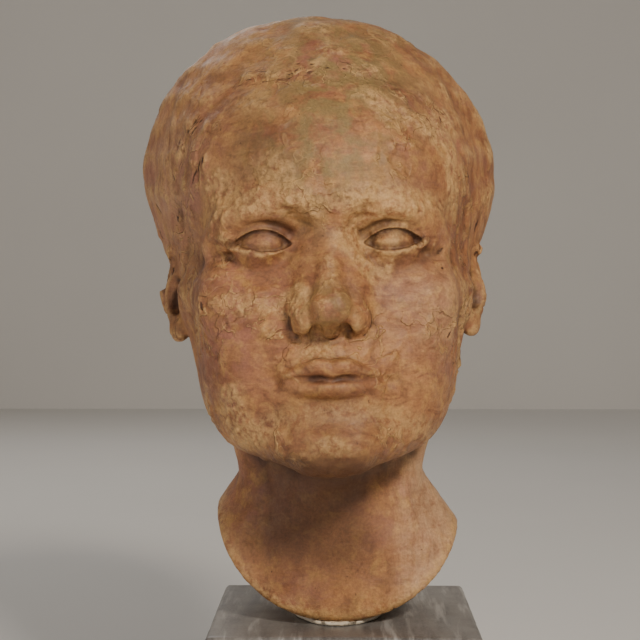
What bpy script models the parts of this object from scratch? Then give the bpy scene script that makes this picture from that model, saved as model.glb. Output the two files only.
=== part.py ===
"""Portrait head in fired clay on a marble block, as separate pieces in one frame.

Units are metres, +Z is up and the face looks along -Y. The origin is the middle of the felt's
underside, on the surface that the object stands on. The head is modelled as a sculptor builds it:
lumps and rolls of clay are blended together and hollows are pressed in. That clay is worked out in
millimetres for a head HEAD_UNITS tall and is then scaled to HEAD_HEIGHT.
"""

import math

import bmesh
import bpy
import numpy as np
from mathutils import Matrix, Vector

# Driving sizes
HEAD_HEIGHT = 0.238          # crown to chin
BLOCK_WIDTH = 0.140
BLOCK_DEPTH = 0.140
BLOCK_HEIGHT = 0.090
BLOCK_EDGE = 0.0025          # softened edges and corners
FELT_THICKNESS = 0.002
FELT_INSET = 0.004           # felt edge in from the block's sides
BED_THICKNESS = 0.0065       # plaster between neck and block, at its rim
BED_WIDTH = 0.050
BED_LENGTH = 0.093
ROD_DIAMETER = 0.010
BORE_CLEARANCE = 0.00075     # all round the rod, where it goes through the block
NUT_HEIGHT = 0.008
WASHER_THICKNESS = 0.002
RECESS_DEPTH = 0.024         # counterbore under the block
ROD_END = 0.003              # thread showing past each nut
RECESS_CLEARANCE = 0.003     # all round the washer, in the counterbore
GAP = 0.0003                 # between faces that touch
OVERSHOOT = 0.01             # how far a cutter runs past the faces it cuts
PLUG_HEIGHT = 62.0           # of the plaster in the neck, in clay millimetres above the block

# Sizes that follow from those
NUT_ACROSS_CORNERS = 1.96 * ROD_DIAMETER
WASHER_DIAMETER = 2.4 * ROD_DIAMETER
BORE_DIAMETER = ROD_DIAMETER + 2 * BORE_CLEARANCE
RECESS_DIAMETER = WASHER_DIAMETER + 2 * RECESS_CLEARANCE
BLOCK_BOTTOM = FELT_THICKNESS + GAP
BLOCK_TOP = BLOCK_BOTTOM + BLOCK_HEIGHT

# The clay's own measure: millimetres, with z = 0 on the block's top face
HEAD_UNITS = 238.0
CLAY = HEAD_HEIGHT / HEAD_UNITS
NECK_AXIS = np.array([-3.0, 6.0])         # upright line through the neck
ROD_AT = tuple(NECK_AXIS * CLAY)          # the rod follows it
EYE_LINE = np.array([-10.5, 0.0, 188.0])   # middle of the head on the level of the eyes
CHIN_UP, LEAN, TURN_HEAD = 7.0, -1.0, 2.0  # degrees
NECK_HALF_WIDTH, NECK_HALF_DEPTH = 50.0, 53.5
FLARE_FROM = 79.0                         # height below which the neck widens
FLARE_RATE = 0.8
CAP_DRIFT = 0.045                         # sideways slope of the crown
HAIR_EDGE = 1.4                           # thickness of the hair at its edge
HAIR_RISE = 56.0                          # width over which it thickens from there
CUT_CENTRE = np.array([-2.5, 2.0, 62.0])   # bowl-shaped cut under the neck
CUT_RADII = np.array([67.0, 220.0, 61.5])
CUT_FLAT = 2.0                            # height at which the bowl is cut flat
NECK_TOP = 186.0                          # where the neck's column ends, inside the skull
CORE_CENTRE = (0.0, 12.0, 38.0)           # hollow inside the skull, from the eye line
CORE_RADII = (69.0, 82.0, 74.0)
FLUE = [(12.0, -4.0), (12.0, 8.0), (25.0, 44.0), (31.0, 70.0), (31.0, 172.0)]   # hollow of the neck

COARSE_VOXEL = 4.0
FINE_VOXEL = 2.6
HEAD_TRIANGLES = 6400


def turn(axis, degrees):
    """Rotation matrix about X, Y or Z."""
    return np.array(Matrix.Rotation(math.radians(degrees), 3, axis))


HEAD_TURN = turn("Z", TURN_HEAD) @ turn("Y", LEAN) @ turn("X", -CHIN_UP)


# ---------------------------------------------------------------- clay: distance to each form

def blend(a, b, soft):
    """Two forms run together over a fillet of about `soft`."""
    h = np.maximum(soft - np.abs(a - b), 0.0) / soft
    return np.minimum(a, b) - h * h * soft * 0.25


def press(a, tool, soft):
    """A tool pressed into a form, with a rounded edge."""
    return -blend(-a, tool, soft)


def lump(p, centre, radii, tilt=None):
    """Ellipsoid of clay."""
    q = p - np.asarray(centre, float)
    if tilt is not None:
        q = q @ tilt
    radii = np.asarray(radii, float)
    k0 = np.linalg.norm(q / radii, axis=1)
    k1 = np.linalg.norm(q / (radii * radii), axis=1)
    return k0 * (k0 - 1.0) / np.maximum(k1, 1e-9)


def taper(p, a, b, ra, rb):
    """Straight roll of clay from a to b, with its two radii."""
    a = np.asarray(a, float)
    along = np.asarray(b, float) - a
    t = np.clip((p - a) @ along / (along @ along), 0.0, 1.0)
    return np.linalg.norm(p - a - t[:, None] * along, axis=1) - (ra + (rb - ra) * t)


def roll(p, points, radii, steps=4):
    """Roll of clay laid along a smooth curve through the points."""
    pts = np.asarray(points, float)
    ends = np.vstack([2 * pts[0] - pts[1], pts, 2 * pts[-1] - pts[-2]])
    line, thick = [], []
    for i in range(len(pts) - 1):
        p0, p1, p2, p3 = ends[i:i + 4]
        for s in np.linspace(0.0, 1.0, steps, endpoint=False):
            bend = (2 * p0 - 5 * p1 + 4 * p2 - p3) * s * s + (-p0 + 3 * p1 - 3 * p2 + p3) * s ** 3
            line.append(0.5 * (2 * p1 + (p2 - p0) * s + bend))
            thick.append(radii[i] + (radii[i + 1] - radii[i]) * s)
    line.append(pts[-1])
    thick.append(radii[-1])
    d = np.full(len(p), 1e9)
    for i in range(len(line) - 1):
        d = np.minimum(d, taper(p, line[i], line[i + 1], thick[i], thick[i + 1]))
    return d


def skull(q):
    d = lump(q, (0, 6, 31), (77.5, 95, 89))
    d = blend(d, lump(q, (0, 28, 26), (77, 72, 74)), 18)
    d = blend(d, lump(q, (0, -20, 50), (74, 60, 52)), 10)
    return blend(d, lump(q, (0, -40, 34), (62, 52, 46)), 22)


def face(q):
    """Planes of a plain, regular face: brow, cheekbones, jaw, muzzle and chin."""
    d = skull(q)
    brow = [(0, -82, 15), (14, -86, 18), (32, -83, 20), (50, -68, 13), (57, -58, 4)]
    d = blend(d, roll(q, brow, [7.5, 7, 6.5, 6, 5]), 12)
    d = blend(d, lump(q, (0, -46, -36), (50, 42, 52)), 20)
    d = blend(d, lump(q, (43, -61, -26), (19, 18, 14), turn("Z", -28)), 16)
    d = blend(d, taper(q, (50, -54, -24), (68, -8, -16), 11, 9), 20)
    jaw = [(0, -78, -98), (16, -73, -97), (36, -48, -88), (52, -14, -72), (62, 0, -30)]
    d = blend(d, roll(q, jaw, [15, 14, 12, 12, 13]), 18)
    d = blend(d, lump(q, (34, -42, -58), (28, 38, 40)), 20)
    d = blend(d, lump(q, (0, -40, -78), (36, 40, 26)), 18)
    d = blend(d, lump(q, (0, -72, -66), (30, 23, 28)), 12)
    return blend(d, lump(q, (0, -81, -99), (17, 13, 12.5)), 12)


def eyes(q, d):
    """Sockets with blank eyes and plain lids."""
    d = press(d, lump(q, (31, -98, 0), (21, 18, 11.5), turn("Z", -12)), 9)
    d = press(d, lump(q, (19, -94, 5), (7, 10, 9)), 8)
    d = blend(d, lump(q, (31.5, -74, 0), (14.5, 14.5, 13.5)), 3)
    fold = [(18, -81, 9), (25, -87.5, 13.5), (36, -87, 13.5), (46, -78, 8), (50, -70, 0)]
    return blend(d, roll(q, fold, [2.5, 4, 4.6, 4.5, 3]), 5)


def nose_and_mouth(q, d):
    bridge = [(0, -84, 8), (0, -91, -8), (0, -99, -24), (0, -104, -36)]
    d = blend(d, roll(q, bridge, [6, 6, 6.6, 8.4]), 7)
    d = blend(d, roll(q, [(6, -79, 2), (8, -84, -18), (11, -89, -38)], [7, 8.5, 9.5]), 9)
    d = blend(d, lump(q, (11.5, -94, -40), (7, 11, 8), turn("Z", -14)), 6)
    upper = [(26, -83.5, -69), (17, -91.5, -66.8), (6.5, -96.6, -64.4), (0, -96.3, -66.0)]
    d = blend(d, roll(q, upper, [1.6, 3.6, 4.6, 4.2]), 3)
    d = blend(d, roll(q, [(25, -84, -71), (14, -91.5, -74), (0, -94.4, -75.6)], [1.5, 4.2, 5.6]), 3)
    return press(d, taper(q, (-9, -101.5, -85), (9, -101.5, -85), 7.5, 7.5), 8)


EAR_CENTRE = np.array([78.0, 7.0, -13.0])
EAR_TURN = turn("Z", -40) @ turn("X", 12)


def ear(q, d):
    """Small close-set ear, in axes u (back), v (up) and w (out)."""
    e = (q - EAR_CENTRE) @ EAR_TURN
    p = np.stack([e[:, 1], e[:, 2], e[:, 0]], axis=1)
    a = blend(lump(p, (1, 3, 1), (14.5, 19, 3.6)), lump(p, (-3, -15, 0.5), (9, 11, 3.8)), 6)
    a = blend(a, lump(p, (-4, -2, -9), (11, 19, 10)), 7)
    rim = [(-9, 3, 2.5), (-11, 12, 4), (-5, 20, 4.6), (5, 22, 4.6)]
    rim += [(13, 17, 4.6), (15.5, 6, 4.2), (12, -6, 3.4)]
    fold = [(3, -11, 3.5), (7.5, -3, 4), (6, 7, 3.6), (-2, 12, 2.6)]
    a = blend(a, roll(p, rim, [2.4, 2.8, 3, 3, 3, 2.8, 2.2]), 2.4)
    a = blend(a, roll(p, fold, [2.4, 2.6, 2.4, 1.8]), 2.6)
    a = blend(a, lump(p, (-10.5, -6, 3), (3.4, 5, 3.6)), 3)
    a = blend(a, lump(p, (-4, -20.5, 1.5), (6.6, 6.5, 4)), 4)
    a = press(a, lump(p, (-2, -4, 5.5), (6.6, 7.5, 7)), 2)
    return blend(d, a, 3.5)


def hair(q, d):
    """Close cap of hair: nearly flush at its edge, fullest at the upper temples, tucked in below."""
    cap = blend(lump(q, (0, 14, 52), (98, 100, 84)), skull(q) - 7.0, 14)
    cap = blend(cap, lump(q, (70, 12, 50), (28, 58, 30)), 10)
    cap = blend(cap, lump(q, (0, 34, -8), (70, 60, 56)), 20)
    across = np.sqrt(q[:, 0] ** 2 + 900.0)
    front = 0.897 * q[:, 1] + 0.377 * q[:, 2] - 0.35 * across + 39.5
    lower = 0.4855 * q[:, 1] + 0.862 * q[:, 2] - 0.144 * across + 18.0
    d = blend(d, lump(q, (0, 44, -40), (52, 44, 50)), 20)
    rise = np.clip(blend(front, 2.0 * lower, 12) / HAIR_RISE, 0.0, 1.0)
    rise = rise * (1.0 + rise - rise * rise)
    cap = (1.0 - rise) * (d - HAIR_EDGE) + rise * cap
    cap = -blend(-cap, front, 5)
    cap = -blend(-cap, lower, 8)
    return blend(d, cap, 4)


def head_form(q):
    q = q.copy()
    q[:, 0] += CAP_DRIFT * np.maximum(q[:, 2] - 20.0, 0.0)
    q[:, 0] = np.sqrt(q[:, 0] ** 2 + 0.05)
    return ear(q, hair(q, nose_and_mouth(q, eyes(q, face(q)))))


def neck_form(p):
    """Oval neck that flares towards its cut, with the two cords that run down from the ears."""
    z = p[:, 2]
    flare = np.maximum(FLARE_FROM - z, 0.0)
    half_width = NECK_HALF_WIDTH + FLARE_RATE * (np.sqrt(flare * flare + 36) - 6)
    half_depth = NECK_HALF_DEPTH - 0.035 * flare
    dx = (p[:, 0] + 7.2) / half_width
    dy = (p[:, 1] - 9.0) / half_depth
    d = (np.sqrt(dx * dx + dy * dy) - 1.0) * half_width * 0.9
    d = -blend(-d, NECK_TOP - z, 16)
    for side in (-1, 1):
        mastoid = HEAD_TURN @ np.array([60.0 * side, 16.0, -34.0]) + EYE_LINE
        d = blend(d, taper(p, mastoid, (-5 + 15 * side, -34, 12), 11, 6), 14)
    d = blend(d, lump(p, (-7, -41, 84), (9, 9, 13)), 14)
    return -blend(-d, -lump(p, CUT_CENTRE, CUT_RADII), 2)


def clay(p):
    """Distance from the head's surface, negative inside the clay."""
    d = blend(head_form((p - EYE_LINE) @ HEAD_TURN), neck_form(p), 14)
    return np.maximum(d, CUT_FLAT - p[:, 2])


# ---------------------------------------------------------------- meshes

def mesh_object(name, bm, smooth=False):
    mesh = bpy.data.meshes.new(name)
    bm.to_mesh(mesh)
    bm.free()
    if smooth:
        mesh.shade_smooth()
        mesh.set_sharp_from_angle(angle=math.radians(40))
    piece = bpy.data.objects.new(name, mesh)
    bpy.context.scene.collection.objects.link(piece)
    return piece


def material(piece, colour, roughness, metallic=0.0):
    mat = bpy.data.materials.new(piece.name + "_finish")
    mat.use_nodes = True
    shader = mat.node_tree.nodes["Principled BSDF"]
    shader.inputs["Base Color"].default_value = (*colour, 1.0)
    shader.inputs["Roughness"].default_value = roughness
    shader.inputs["Metallic"].default_value = metallic
    piece.data.materials.clear()
    piece.data.materials.append(mat)


def applied(piece):
    """The piece's mesh as its modifiers leave it."""
    graph = bpy.context.evaluated_depsgraph_get()
    mesh = bpy.data.meshes.new_from_object(piece.evaluated_get(graph))
    old = piece.data
    piece.modifiers.clear()
    piece.data = mesh
    bpy.data.meshes.remove(old)
    return piece


def subtract(piece, cutter):
    cutter.hide_render = True
    cutter.display_type = "WIRE"
    cut = piece.modifiers.new("cut_" + cutter.name, "BOOLEAN")
    cut.operation = "DIFFERENCE"
    cut.object = cutter
    applied(piece)
    bpy.data.objects.remove(cutter)


def rough_clay():
    """Stand-in lumps near the finished surface, which the remesh fuses into one skin."""
    bm = bmesh.new()
    to_clay = Matrix.Translation(EYE_LINE) @ Matrix(HEAD_TURN.tolist()).to_4x4()
    ear_turn = Matrix(EAR_TURN.tolist()).to_4x4()

    def add(place, centre, radii):
        form = place @ Matrix.Translation(centre) @ Matrix.Diagonal((*radii, 1.0))
        bmesh.ops.create_icosphere(bm, subdivisions=4, radius=1.0, matrix=form)

    for centre, radii in [((0, 14, 46), (96, 100, 90)), ((0, 24, -6), (72, 64, 58)),
                          ((0, -42, -34), (54, 50, 60)), ((0, -52, -78), (40, 44, 32)),
                          ((0, -90, -14), (9, 9, 22)), ((0, -96, -36), (14, 15, 12)),
                          ((0, -80, -72), (28, 20, 24)),
                          ((0, -76, -98), (24, 18, 15)), ((0, 10, -50), (60, 60, 60))]:
        add(to_clay, centre, radii)
    for side in (-1, 1):
        mirror = Matrix.Scale(side, 4, (1, 0, 0))
        for centre, radii in [((50, -40, -46), (18, 34, 40)), ((58, -30, -16), (16, 40, 14))]:
            add(to_clay @ mirror, centre, radii)
        plate = to_clay @ mirror @ Matrix.Translation(EAR_CENTRE) @ ear_turn
        add(plate, (1, 1, 3), (5, 15, 20))
        add(plate, (1, -3, -16), (5, 9, 12))
        add(plate, (-8, -4, -2), (11, 12, 20))
    column = Matrix.Translation((-5, 9, 90)) @ Matrix.Diagonal((52, 56, 70, 1))
    bmesh.ops.create_icosphere(bm, subdivisions=4, radius=1.0, matrix=column)
    bowl = Matrix.Translation((*CUT_CENTRE[:2], 50)) @ Matrix.Diagonal((64, 56, 46, 1))
    bmesh.ops.create_icosphere(bm, subdivisions=4, radius=1.0, matrix=bowl)
    bmesh.ops.recalc_face_normals(bm, faces=bm.faces)
    return mesh_object("head", bm)


def remesh(piece, voxel):
    skin = piece.modifiers.new("skin", "REMESH")
    skin.mode = "VOXEL"
    skin.voxel_size = voxel
    applied(piece)


def settle(mesh, rounds, reach, relax=0.5):
    """Moves every point onto the clay's surface, easing the points apart along it."""
    count = len(mesh.vertices)
    flat = np.empty(count * 3, np.float32)
    mesh.vertices.foreach_get("co", flat)
    p = flat.reshape(-1, 3).astype(float)
    pairs = np.empty(len(mesh.edges) * 2, np.int32)
    mesh.edges.foreach_get("vertices", pairs)
    a, b = pairs.reshape(-1, 2).T
    links = np.maximum(np.bincount(pairs, minlength=count), 1)[:, None]
    for turn_number in range(rounds):
        d = clay(p)
        slope = np.stack([clay(p + shift) - d for shift in np.eye(3) * 0.15], axis=1) / 0.15
        steep = np.linalg.norm(slope, axis=1, keepdims=True)
        normal = slope / np.maximum(steep, 1e-6)
        p = p - np.clip(d[:, None] / np.maximum(steep, 0.35), -reach, reach) * normal
        if turn_number < rounds - 2:
            total = [np.bincount(a, p[b, k], count) + np.bincount(b, p[a, k], count) for k in range(3)]
            ease = np.stack(total, axis=1) / links - p
            ease -= (ease * normal).sum(axis=1, keepdims=True) * normal * 0.8
            p = p + ease * relax
    mesh.vertices.foreach_set("co", p.astype(np.float32).ravel())
    mesh.update()


def to_metres(mesh):
    mesh.transform(Matrix.Translation((0, 0, BLOCK_TOP)) @ Matrix.Scale(CLAY, 4))


def spun(name, profile, centre, steps=48):
    """Solid of revolution about the upright line through `centre`, from (radius, height) points."""
    bm = bmesh.new()
    verts = [bm.verts.new((centre[0] + r, centre[1], z)) for r, z in profile]
    edges = [bm.edges.new(pair) for pair in zip(verts, verts[1:])]
    if profile[0][0] > 0.0:
        edges.append(bm.edges.new((verts[-1], verts[0])))
    bmesh.ops.spin(bm, geom=edges + verts, cent=(*centre, 0), axis=(0, 0, 1),
                   angle=2 * math.pi, steps=steps, use_merge=True)
    bmesh.ops.remove_doubles(bm, verts=bm.verts, dist=1e-7)
    bmesh.ops.recalc_face_normals(bm, faces=bm.faces)
    return mesh_object(name, bm, smooth=True)


def clay_height(z):
    """World height of a clay height above the block."""
    return BLOCK_TOP + z * CLAY


def make_head():
    head = rough_clay()
    remesh(head, COARSE_VOXEL)
    settle(head.data, 10, 4.0)
    remesh(head, FINE_VOXEL)
    settle(head.data, 6, 2.0)
    fewer = head.modifiers.new("fewer", "DECIMATE")
    fewer.ratio = HEAD_TRIANGLES / (2 * len(head.data.polygons))
    applied(head)
    bm = bmesh.new()
    form = Matrix.Translation(EYE_LINE) @ Matrix(HEAD_TURN.tolist()).to_4x4()
    form = form @ Matrix.Translation(CORE_CENTRE) @ Matrix.Diagonal((*CORE_RADII, 1.0))
    bmesh.ops.create_uvsphere(bm, u_segments=32, v_segments=18, radius=1.0, matrix=form)
    core = mesh_object("core", bm)
    flue = spun("flue", [(0.0, FLUE[0][1])] + FLUE + [(0.0, FLUE[-1][1])], NECK_AXIS)
    subtract(head, core)
    subtract(head, flue)
    to_metres(head.data)
    head.data.shade_smooth()
    head.data.set_sharp_from_angle(angle=math.radians(50))
    material(head, (0.31, 0.165, 0.085), 0.62)


def make_neck_plug():
    """Plaster that fills the lower neck, bored for the rod."""
    bore = ROD_DIAMETER / 2 + GAP
    outline = [(bore, clay_height(CUT_FLAT)), (FLUE[0][0] * CLAY - GAP, clay_height(CUT_FLAT))]
    for r, z in FLUE[1:]:
        if z < PLUG_HEIGHT:
            outline.append((r * CLAY - GAP, clay_height(z)))
    r0, z0 = FLUE[2]
    r1, z1 = FLUE[3]
    top_radius = r0 + (r1 - r0) * (PLUG_HEIGHT - z0) / (z1 - z0)
    outline.append((top_radius * CLAY - GAP, clay_height(PLUG_HEIGHT)))
    outline.append((bore, clay_height(PLUG_HEIGHT)))
    material(spun("neck_plug", outline, ROD_AT), (0.62, 0.58, 0.50), 0.8)


def make_bedding():
    """Oval bead of plaster, hollowed to the neck's bowl and round the plug."""
    bm = bmesh.new()
    middle = (ROD_AT[0], CUT_CENTRE[1] * CLAY, BLOCK_TOP + GAP + BED_THICKNESS / 2)
    form = Matrix.Translation(middle)
    form = form @ Matrix.Diagonal((BED_WIDTH / 2, BED_LENGTH / 2, 1.0, 1.0))
    bmesh.ops.create_cone(bm, cap_ends=True, segments=64, radius1=1.0, radius2=1.0,
                          depth=BED_THICKNESS, matrix=form)
    rims = [e for e in bm.edges if abs(e.verts[0].co.z - e.verts[1].co.z) < 1e-6]
    bmesh.ops.bevel(bm, geom=rims, offset=BED_THICKNESS * 0.3, affect="EDGES", segments=3,
                    profile=0.5, material=-1)
    bed = mesh_object("bedding_collar", bm, smooth=True)
    bm = bmesh.new()
    bowl = Matrix.Translation(Vector(CUT_CENTRE * CLAY) + Vector((0, 0, BLOCK_TOP)))
    bowl = bowl @ Matrix.Diagonal((*(CUT_RADII * CLAY + GAP), 1.0))
    bmesh.ops.create_uvsphere(bm, u_segments=64, v_segments=48, radius=1.0, matrix=bowl)
    low = BLOCK_TOP + CUT_FLAT * CLAY - GAP
    cap = bmesh.ops.bisect_plane(bm, geom=bm.verts[:] + bm.edges[:] + bm.faces[:],
                                 plane_co=(0, 0, low), plane_no=(0, 0, -1), clear_outer=True)
    bmesh.ops.holes_fill(bm, edges=[e for e in cap["geom_cut"] if isinstance(e, bmesh.types.BMEdge)])
    subtract(bed, mesh_object("bowl", bm))
    bore = ROD_DIAMETER / 2 + GAP
    low, high = BLOCK_TOP - OVERSHOOT, BLOCK_TOP + BED_THICKNESS + OVERSHOOT
    hole = [(0.0, low), (bore, low), (bore, high), (0.0, high)]
    subtract(bed, spun("rod_hole", hole, ROD_AT))
    material(bed, (0.68, 0.61, 0.48), 0.85)


def make_block():
    bm = bmesh.new()
    form = Matrix.Translation((0, 0, BLOCK_BOTTOM + BLOCK_HEIGHT / 2))
    form = form @ Matrix.Diagonal((BLOCK_WIDTH, BLOCK_DEPTH, BLOCK_HEIGHT, 1.0))
    bmesh.ops.create_cube(bm, size=1.0, matrix=form)
    bmesh.ops.bevel(bm, geom=bm.edges[:], offset=BLOCK_EDGE, affect="EDGES", segments=3,
                    profile=0.5, material=-1)
    block = mesh_object("marble_block", bm, smooth=True)
    shoulder = BLOCK_BOTTOM + RECESS_DEPTH
    wide, narrow = RECESS_DIAMETER / 2, BORE_DIAMETER / 2
    bore = [(0.0, 0.0), (wide, 0.0), (wide, shoulder), (narrow, shoulder),
            (narrow, BLOCK_TOP + OVERSHOOT), (0.0, BLOCK_TOP + OVERSHOOT)]
    subtract(block, spun("bore", bore, ROD_AT))
    material(block, (0.16, 0.145, 0.13), 0.38)


def make_washer(name, bottom):
    inner, outer = ROD_DIAMETER / 2 + GAP, WASHER_DIAMETER / 2
    top = bottom + WASHER_THICKNESS
    ring = [(inner, bottom), (outer, bottom), (outer, top), (inner, top)]
    material(spun(name, ring, ROD_AT), (0.55, 0.55, 0.56), 0.35, 1.0)


def make_nut(name, bottom):
    bm = bmesh.new()
    form = Matrix.Translation((*ROD_AT, bottom + NUT_HEIGHT / 2))
    bmesh.ops.create_cone(bm, cap_ends=True, segments=6, radius1=NUT_ACROSS_CORNERS / 2,
                          radius2=NUT_ACROSS_CORNERS / 2, depth=NUT_HEIGHT, matrix=form)
    nut = mesh_object(name, bm)
    hole = ROD_DIAMETER / 2 + GAP
    low, high = bottom - OVERSHOOT, bottom + NUT_HEIGHT + OVERSHOOT
    through = [(0.0, low), (hole, low), (hole, high), (0.0, high)]
    subtract(nut, spun("thread_hole", through, ROD_AT))
    material(nut, (0.55, 0.55, 0.56), 0.35, 1.0)


def make_rod(bottom, top):
    radius, chamfer = ROD_DIAMETER / 2, ROD_DIAMETER * 0.1
    profile = [(0.0, bottom), (radius - chamfer, bottom), (radius, bottom + chamfer),
               (radius, top - chamfer), (radius - chamfer, top), (0.0, top)]
    material(spun("tie_rod", profile, ROD_AT), (0.55, 0.55, 0.56), 0.35, 1.0)


def make_clamp():
    """Rod, washers and nuts that draw the head down onto the block."""
    upper_washer = clay_height(PLUG_HEIGHT) + GAP
    upper_nut = upper_washer + WASHER_THICKNESS + GAP
    lower_washer = BLOCK_BOTTOM + RECESS_DEPTH - GAP - WASHER_THICKNESS
    lower_nut = lower_washer - GAP - NUT_HEIGHT
    make_washer("anchor_washer", upper_washer)
    make_nut("anchor_nut", upper_nut)
    make_washer("base_washer", lower_washer)
    make_nut("base_nut", lower_nut)
    make_rod(lower_nut - ROD_END, upper_nut + NUT_HEIGHT + ROD_END)


def make_felt():
    bm = bmesh.new()
    form = Matrix.Translation((0, 0, FELT_THICKNESS / 2))
    size = (BLOCK_WIDTH - 2 * FELT_INSET, BLOCK_DEPTH - 2 * FELT_INSET, FELT_THICKNESS)
    bmesh.ops.create_cube(bm, size=1.0, matrix=form @ Matrix.Diagonal((*size, 1.0)))
    corners = [e for e in bm.edges if abs(e.verts[0].co.z - e.verts[1].co.z) > 1e-6]
    bmesh.ops.bevel(bm, geom=corners, offset=FELT_INSET, affect="EDGES", segments=4,
                    profile=0.5, material=-1)
    material(mesh_object("felt_sheet", bm), (0.045, 0.06, 0.04), 0.95)


def main():
    for old in list(bpy.data.objects):
        bpy.data.objects.remove(old)
    make_felt()
    make_block()
    make_bedding()
    make_neck_plug()
    make_clamp()
    make_head()


main()
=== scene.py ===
"""Finished look of a modelled clay head on a marble block, laid round the CAD frame.

The head is sculpted in millimetres from the block's top face: lumps and rolls of clay are blended,
hollows are pressed in, and flakes, facets, cuts and pits are worked into the skin. It is then set to
the frame's size. Every other piece takes its size and place from the frame's boxes.
"""

import math

import bmesh
import bpy
import numpy as np
from bpy.props import FloatProperty, FloatVectorProperty, IntProperty, PointerProperty
from mathutils import Matrix, Vector, noise


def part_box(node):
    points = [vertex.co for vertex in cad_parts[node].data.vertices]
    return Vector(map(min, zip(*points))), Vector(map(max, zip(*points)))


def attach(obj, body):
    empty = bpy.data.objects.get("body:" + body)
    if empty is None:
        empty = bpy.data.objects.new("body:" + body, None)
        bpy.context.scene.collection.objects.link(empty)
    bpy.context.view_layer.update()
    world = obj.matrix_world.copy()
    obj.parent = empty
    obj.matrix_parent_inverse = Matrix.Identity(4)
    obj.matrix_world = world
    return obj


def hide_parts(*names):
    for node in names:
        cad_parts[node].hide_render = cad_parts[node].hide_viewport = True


bl_info = {
    "name": "Clay head on a marble block",
    "version": (1, 0, 0),
    "blender": (4, 5, 0),
    "location": "3D view > Sidebar > Bust",
    "description": "Models the clay head, its plaster bed, marble block, clamp and felt",
    "category": "Object",
}

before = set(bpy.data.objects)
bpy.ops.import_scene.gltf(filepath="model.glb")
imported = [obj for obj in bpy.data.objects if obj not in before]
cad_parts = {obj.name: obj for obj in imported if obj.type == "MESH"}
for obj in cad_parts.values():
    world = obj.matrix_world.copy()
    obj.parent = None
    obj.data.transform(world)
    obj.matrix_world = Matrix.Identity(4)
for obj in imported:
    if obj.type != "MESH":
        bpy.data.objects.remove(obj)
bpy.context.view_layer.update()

HEAD_LOW, HEAD_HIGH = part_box("head")
BLOCK_LOW, BLOCK_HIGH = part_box("marble_block")
BED_LOW, BED_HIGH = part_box("bedding_collar")
FELT_LOW, FELT_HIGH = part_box("felt_sheet")
ROD_LOW, ROD_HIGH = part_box("tie_rod")
BLOCK_TOP = BLOCK_HIGH[2]
ROD_AT = Vector(((ROD_LOW[0] + ROD_HIGH[0]) / 2, (ROD_LOW[1] + ROD_HIGH[1]) / 2, 0.0))
ROD_RADIUS = (ROD_HIGH[0] - ROD_LOW[0]) / 2

# Fits, in metres
GAP = 0.0003                   # between faces that touch
BORE_CLEARANCE = 0.00075       # all round the rod, in the block
RECESS_CLEARANCE = 0.003       # all round the washer, under the block
OVERSHOOT = 0.01               # how far a cutter runs past the faces it cuts

# Clay sizes, in millimetres from the block's top face
CLAY_HEIGHT = 320.7            # of the whole head, neck cut to crown
MM = (HEAD_HIGH[2] - HEAD_LOW[2]) / CLAY_HEIGHT
EYE_LINE = np.array([-10.5, 0.0, 188.0])   # middle of the head on the level of the eyes
CHIN_UP, LEAN, TURN_HEAD = 7.0, -1.0, 2.0   # degrees
NECK_HALF_WIDTH, NECK_HALF_DEPTH = 50.0, 53.5
FLARE_FROM = 79.0              # height below which the neck widens
FLARE_RATE = 0.8
CAP_DRIFT = 0.045              # sideways slope of the crown
HAIR_EDGE = 1.5                # thickness of the hair at its edge
HAIR_RISE = 56.0               # width over which it thickens from there
CUT_CENTRE = np.array([-2.5, 2.0, 62.0])   # bowl-shaped cut under the neck
CUT_RADII = np.array([67.0, 220.0, 61.5])
CUT_FLAT = 2.0
NECK_TOP = 186.0
NECK_AXIS = (-3.0, 6.0)
CORE_CENTRE = (0.0, 12.0, 38.0)
CORE_RADII = (69.0, 82.0, 74.0)
FLUE = [(12.0, -4.0), (12.0, 8.0), (25.0, 44.0), (31.0, 70.0), (31.0, 172.0)]


# ---------------------------------------------------------------- clay forms

def turn(axis, degrees):
    return np.array(Matrix.Rotation(math.radians(degrees), 3, axis))


HEAD_TURN = turn("Z", TURN_HEAD) @ turn("Y", LEAN) @ turn("X", -CHIN_UP)


def blend(a, b, soft):
    """Two forms run together over a fillet of about `soft`."""
    h = np.maximum(soft - np.abs(a - b), 0.0) / soft
    return np.minimum(a, b) - h * h * soft * 0.25


def press(a, tool, soft):
    """A tool pressed into a form, with a rounded edge."""
    return -blend(-a, tool, soft)


def trim(a, keep, soft):
    """Only the clay that lies inside `keep`."""
    return -blend(-a, -keep, soft)


def lump(p, centre, radii, tilt=None):
    """Ellipsoid of clay."""
    q = p - np.asarray(centre, float)
    if tilt is not None:
        q = q @ tilt
    radii = np.asarray(radii, float)
    k0 = np.sqrt(((q / radii) ** 2).sum(axis=1))
    k1 = np.sqrt(((q / (radii * radii)) ** 2).sum(axis=1))
    return k0 * (k0 - 1.0) / np.maximum(k1, 1e-9)


def taper(p, a, b, ra, rb):
    """Straight roll of clay from a to b, with its two radii."""
    a = np.asarray(a, float)
    along = np.asarray(b, float) - a
    q = p - a
    t = np.clip(q @ along / (along @ along), 0.0, 1.0)
    q -= t[:, None] * along
    return np.sqrt((q * q).sum(axis=1)) - (ra + (rb - ra) * t)


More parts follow.
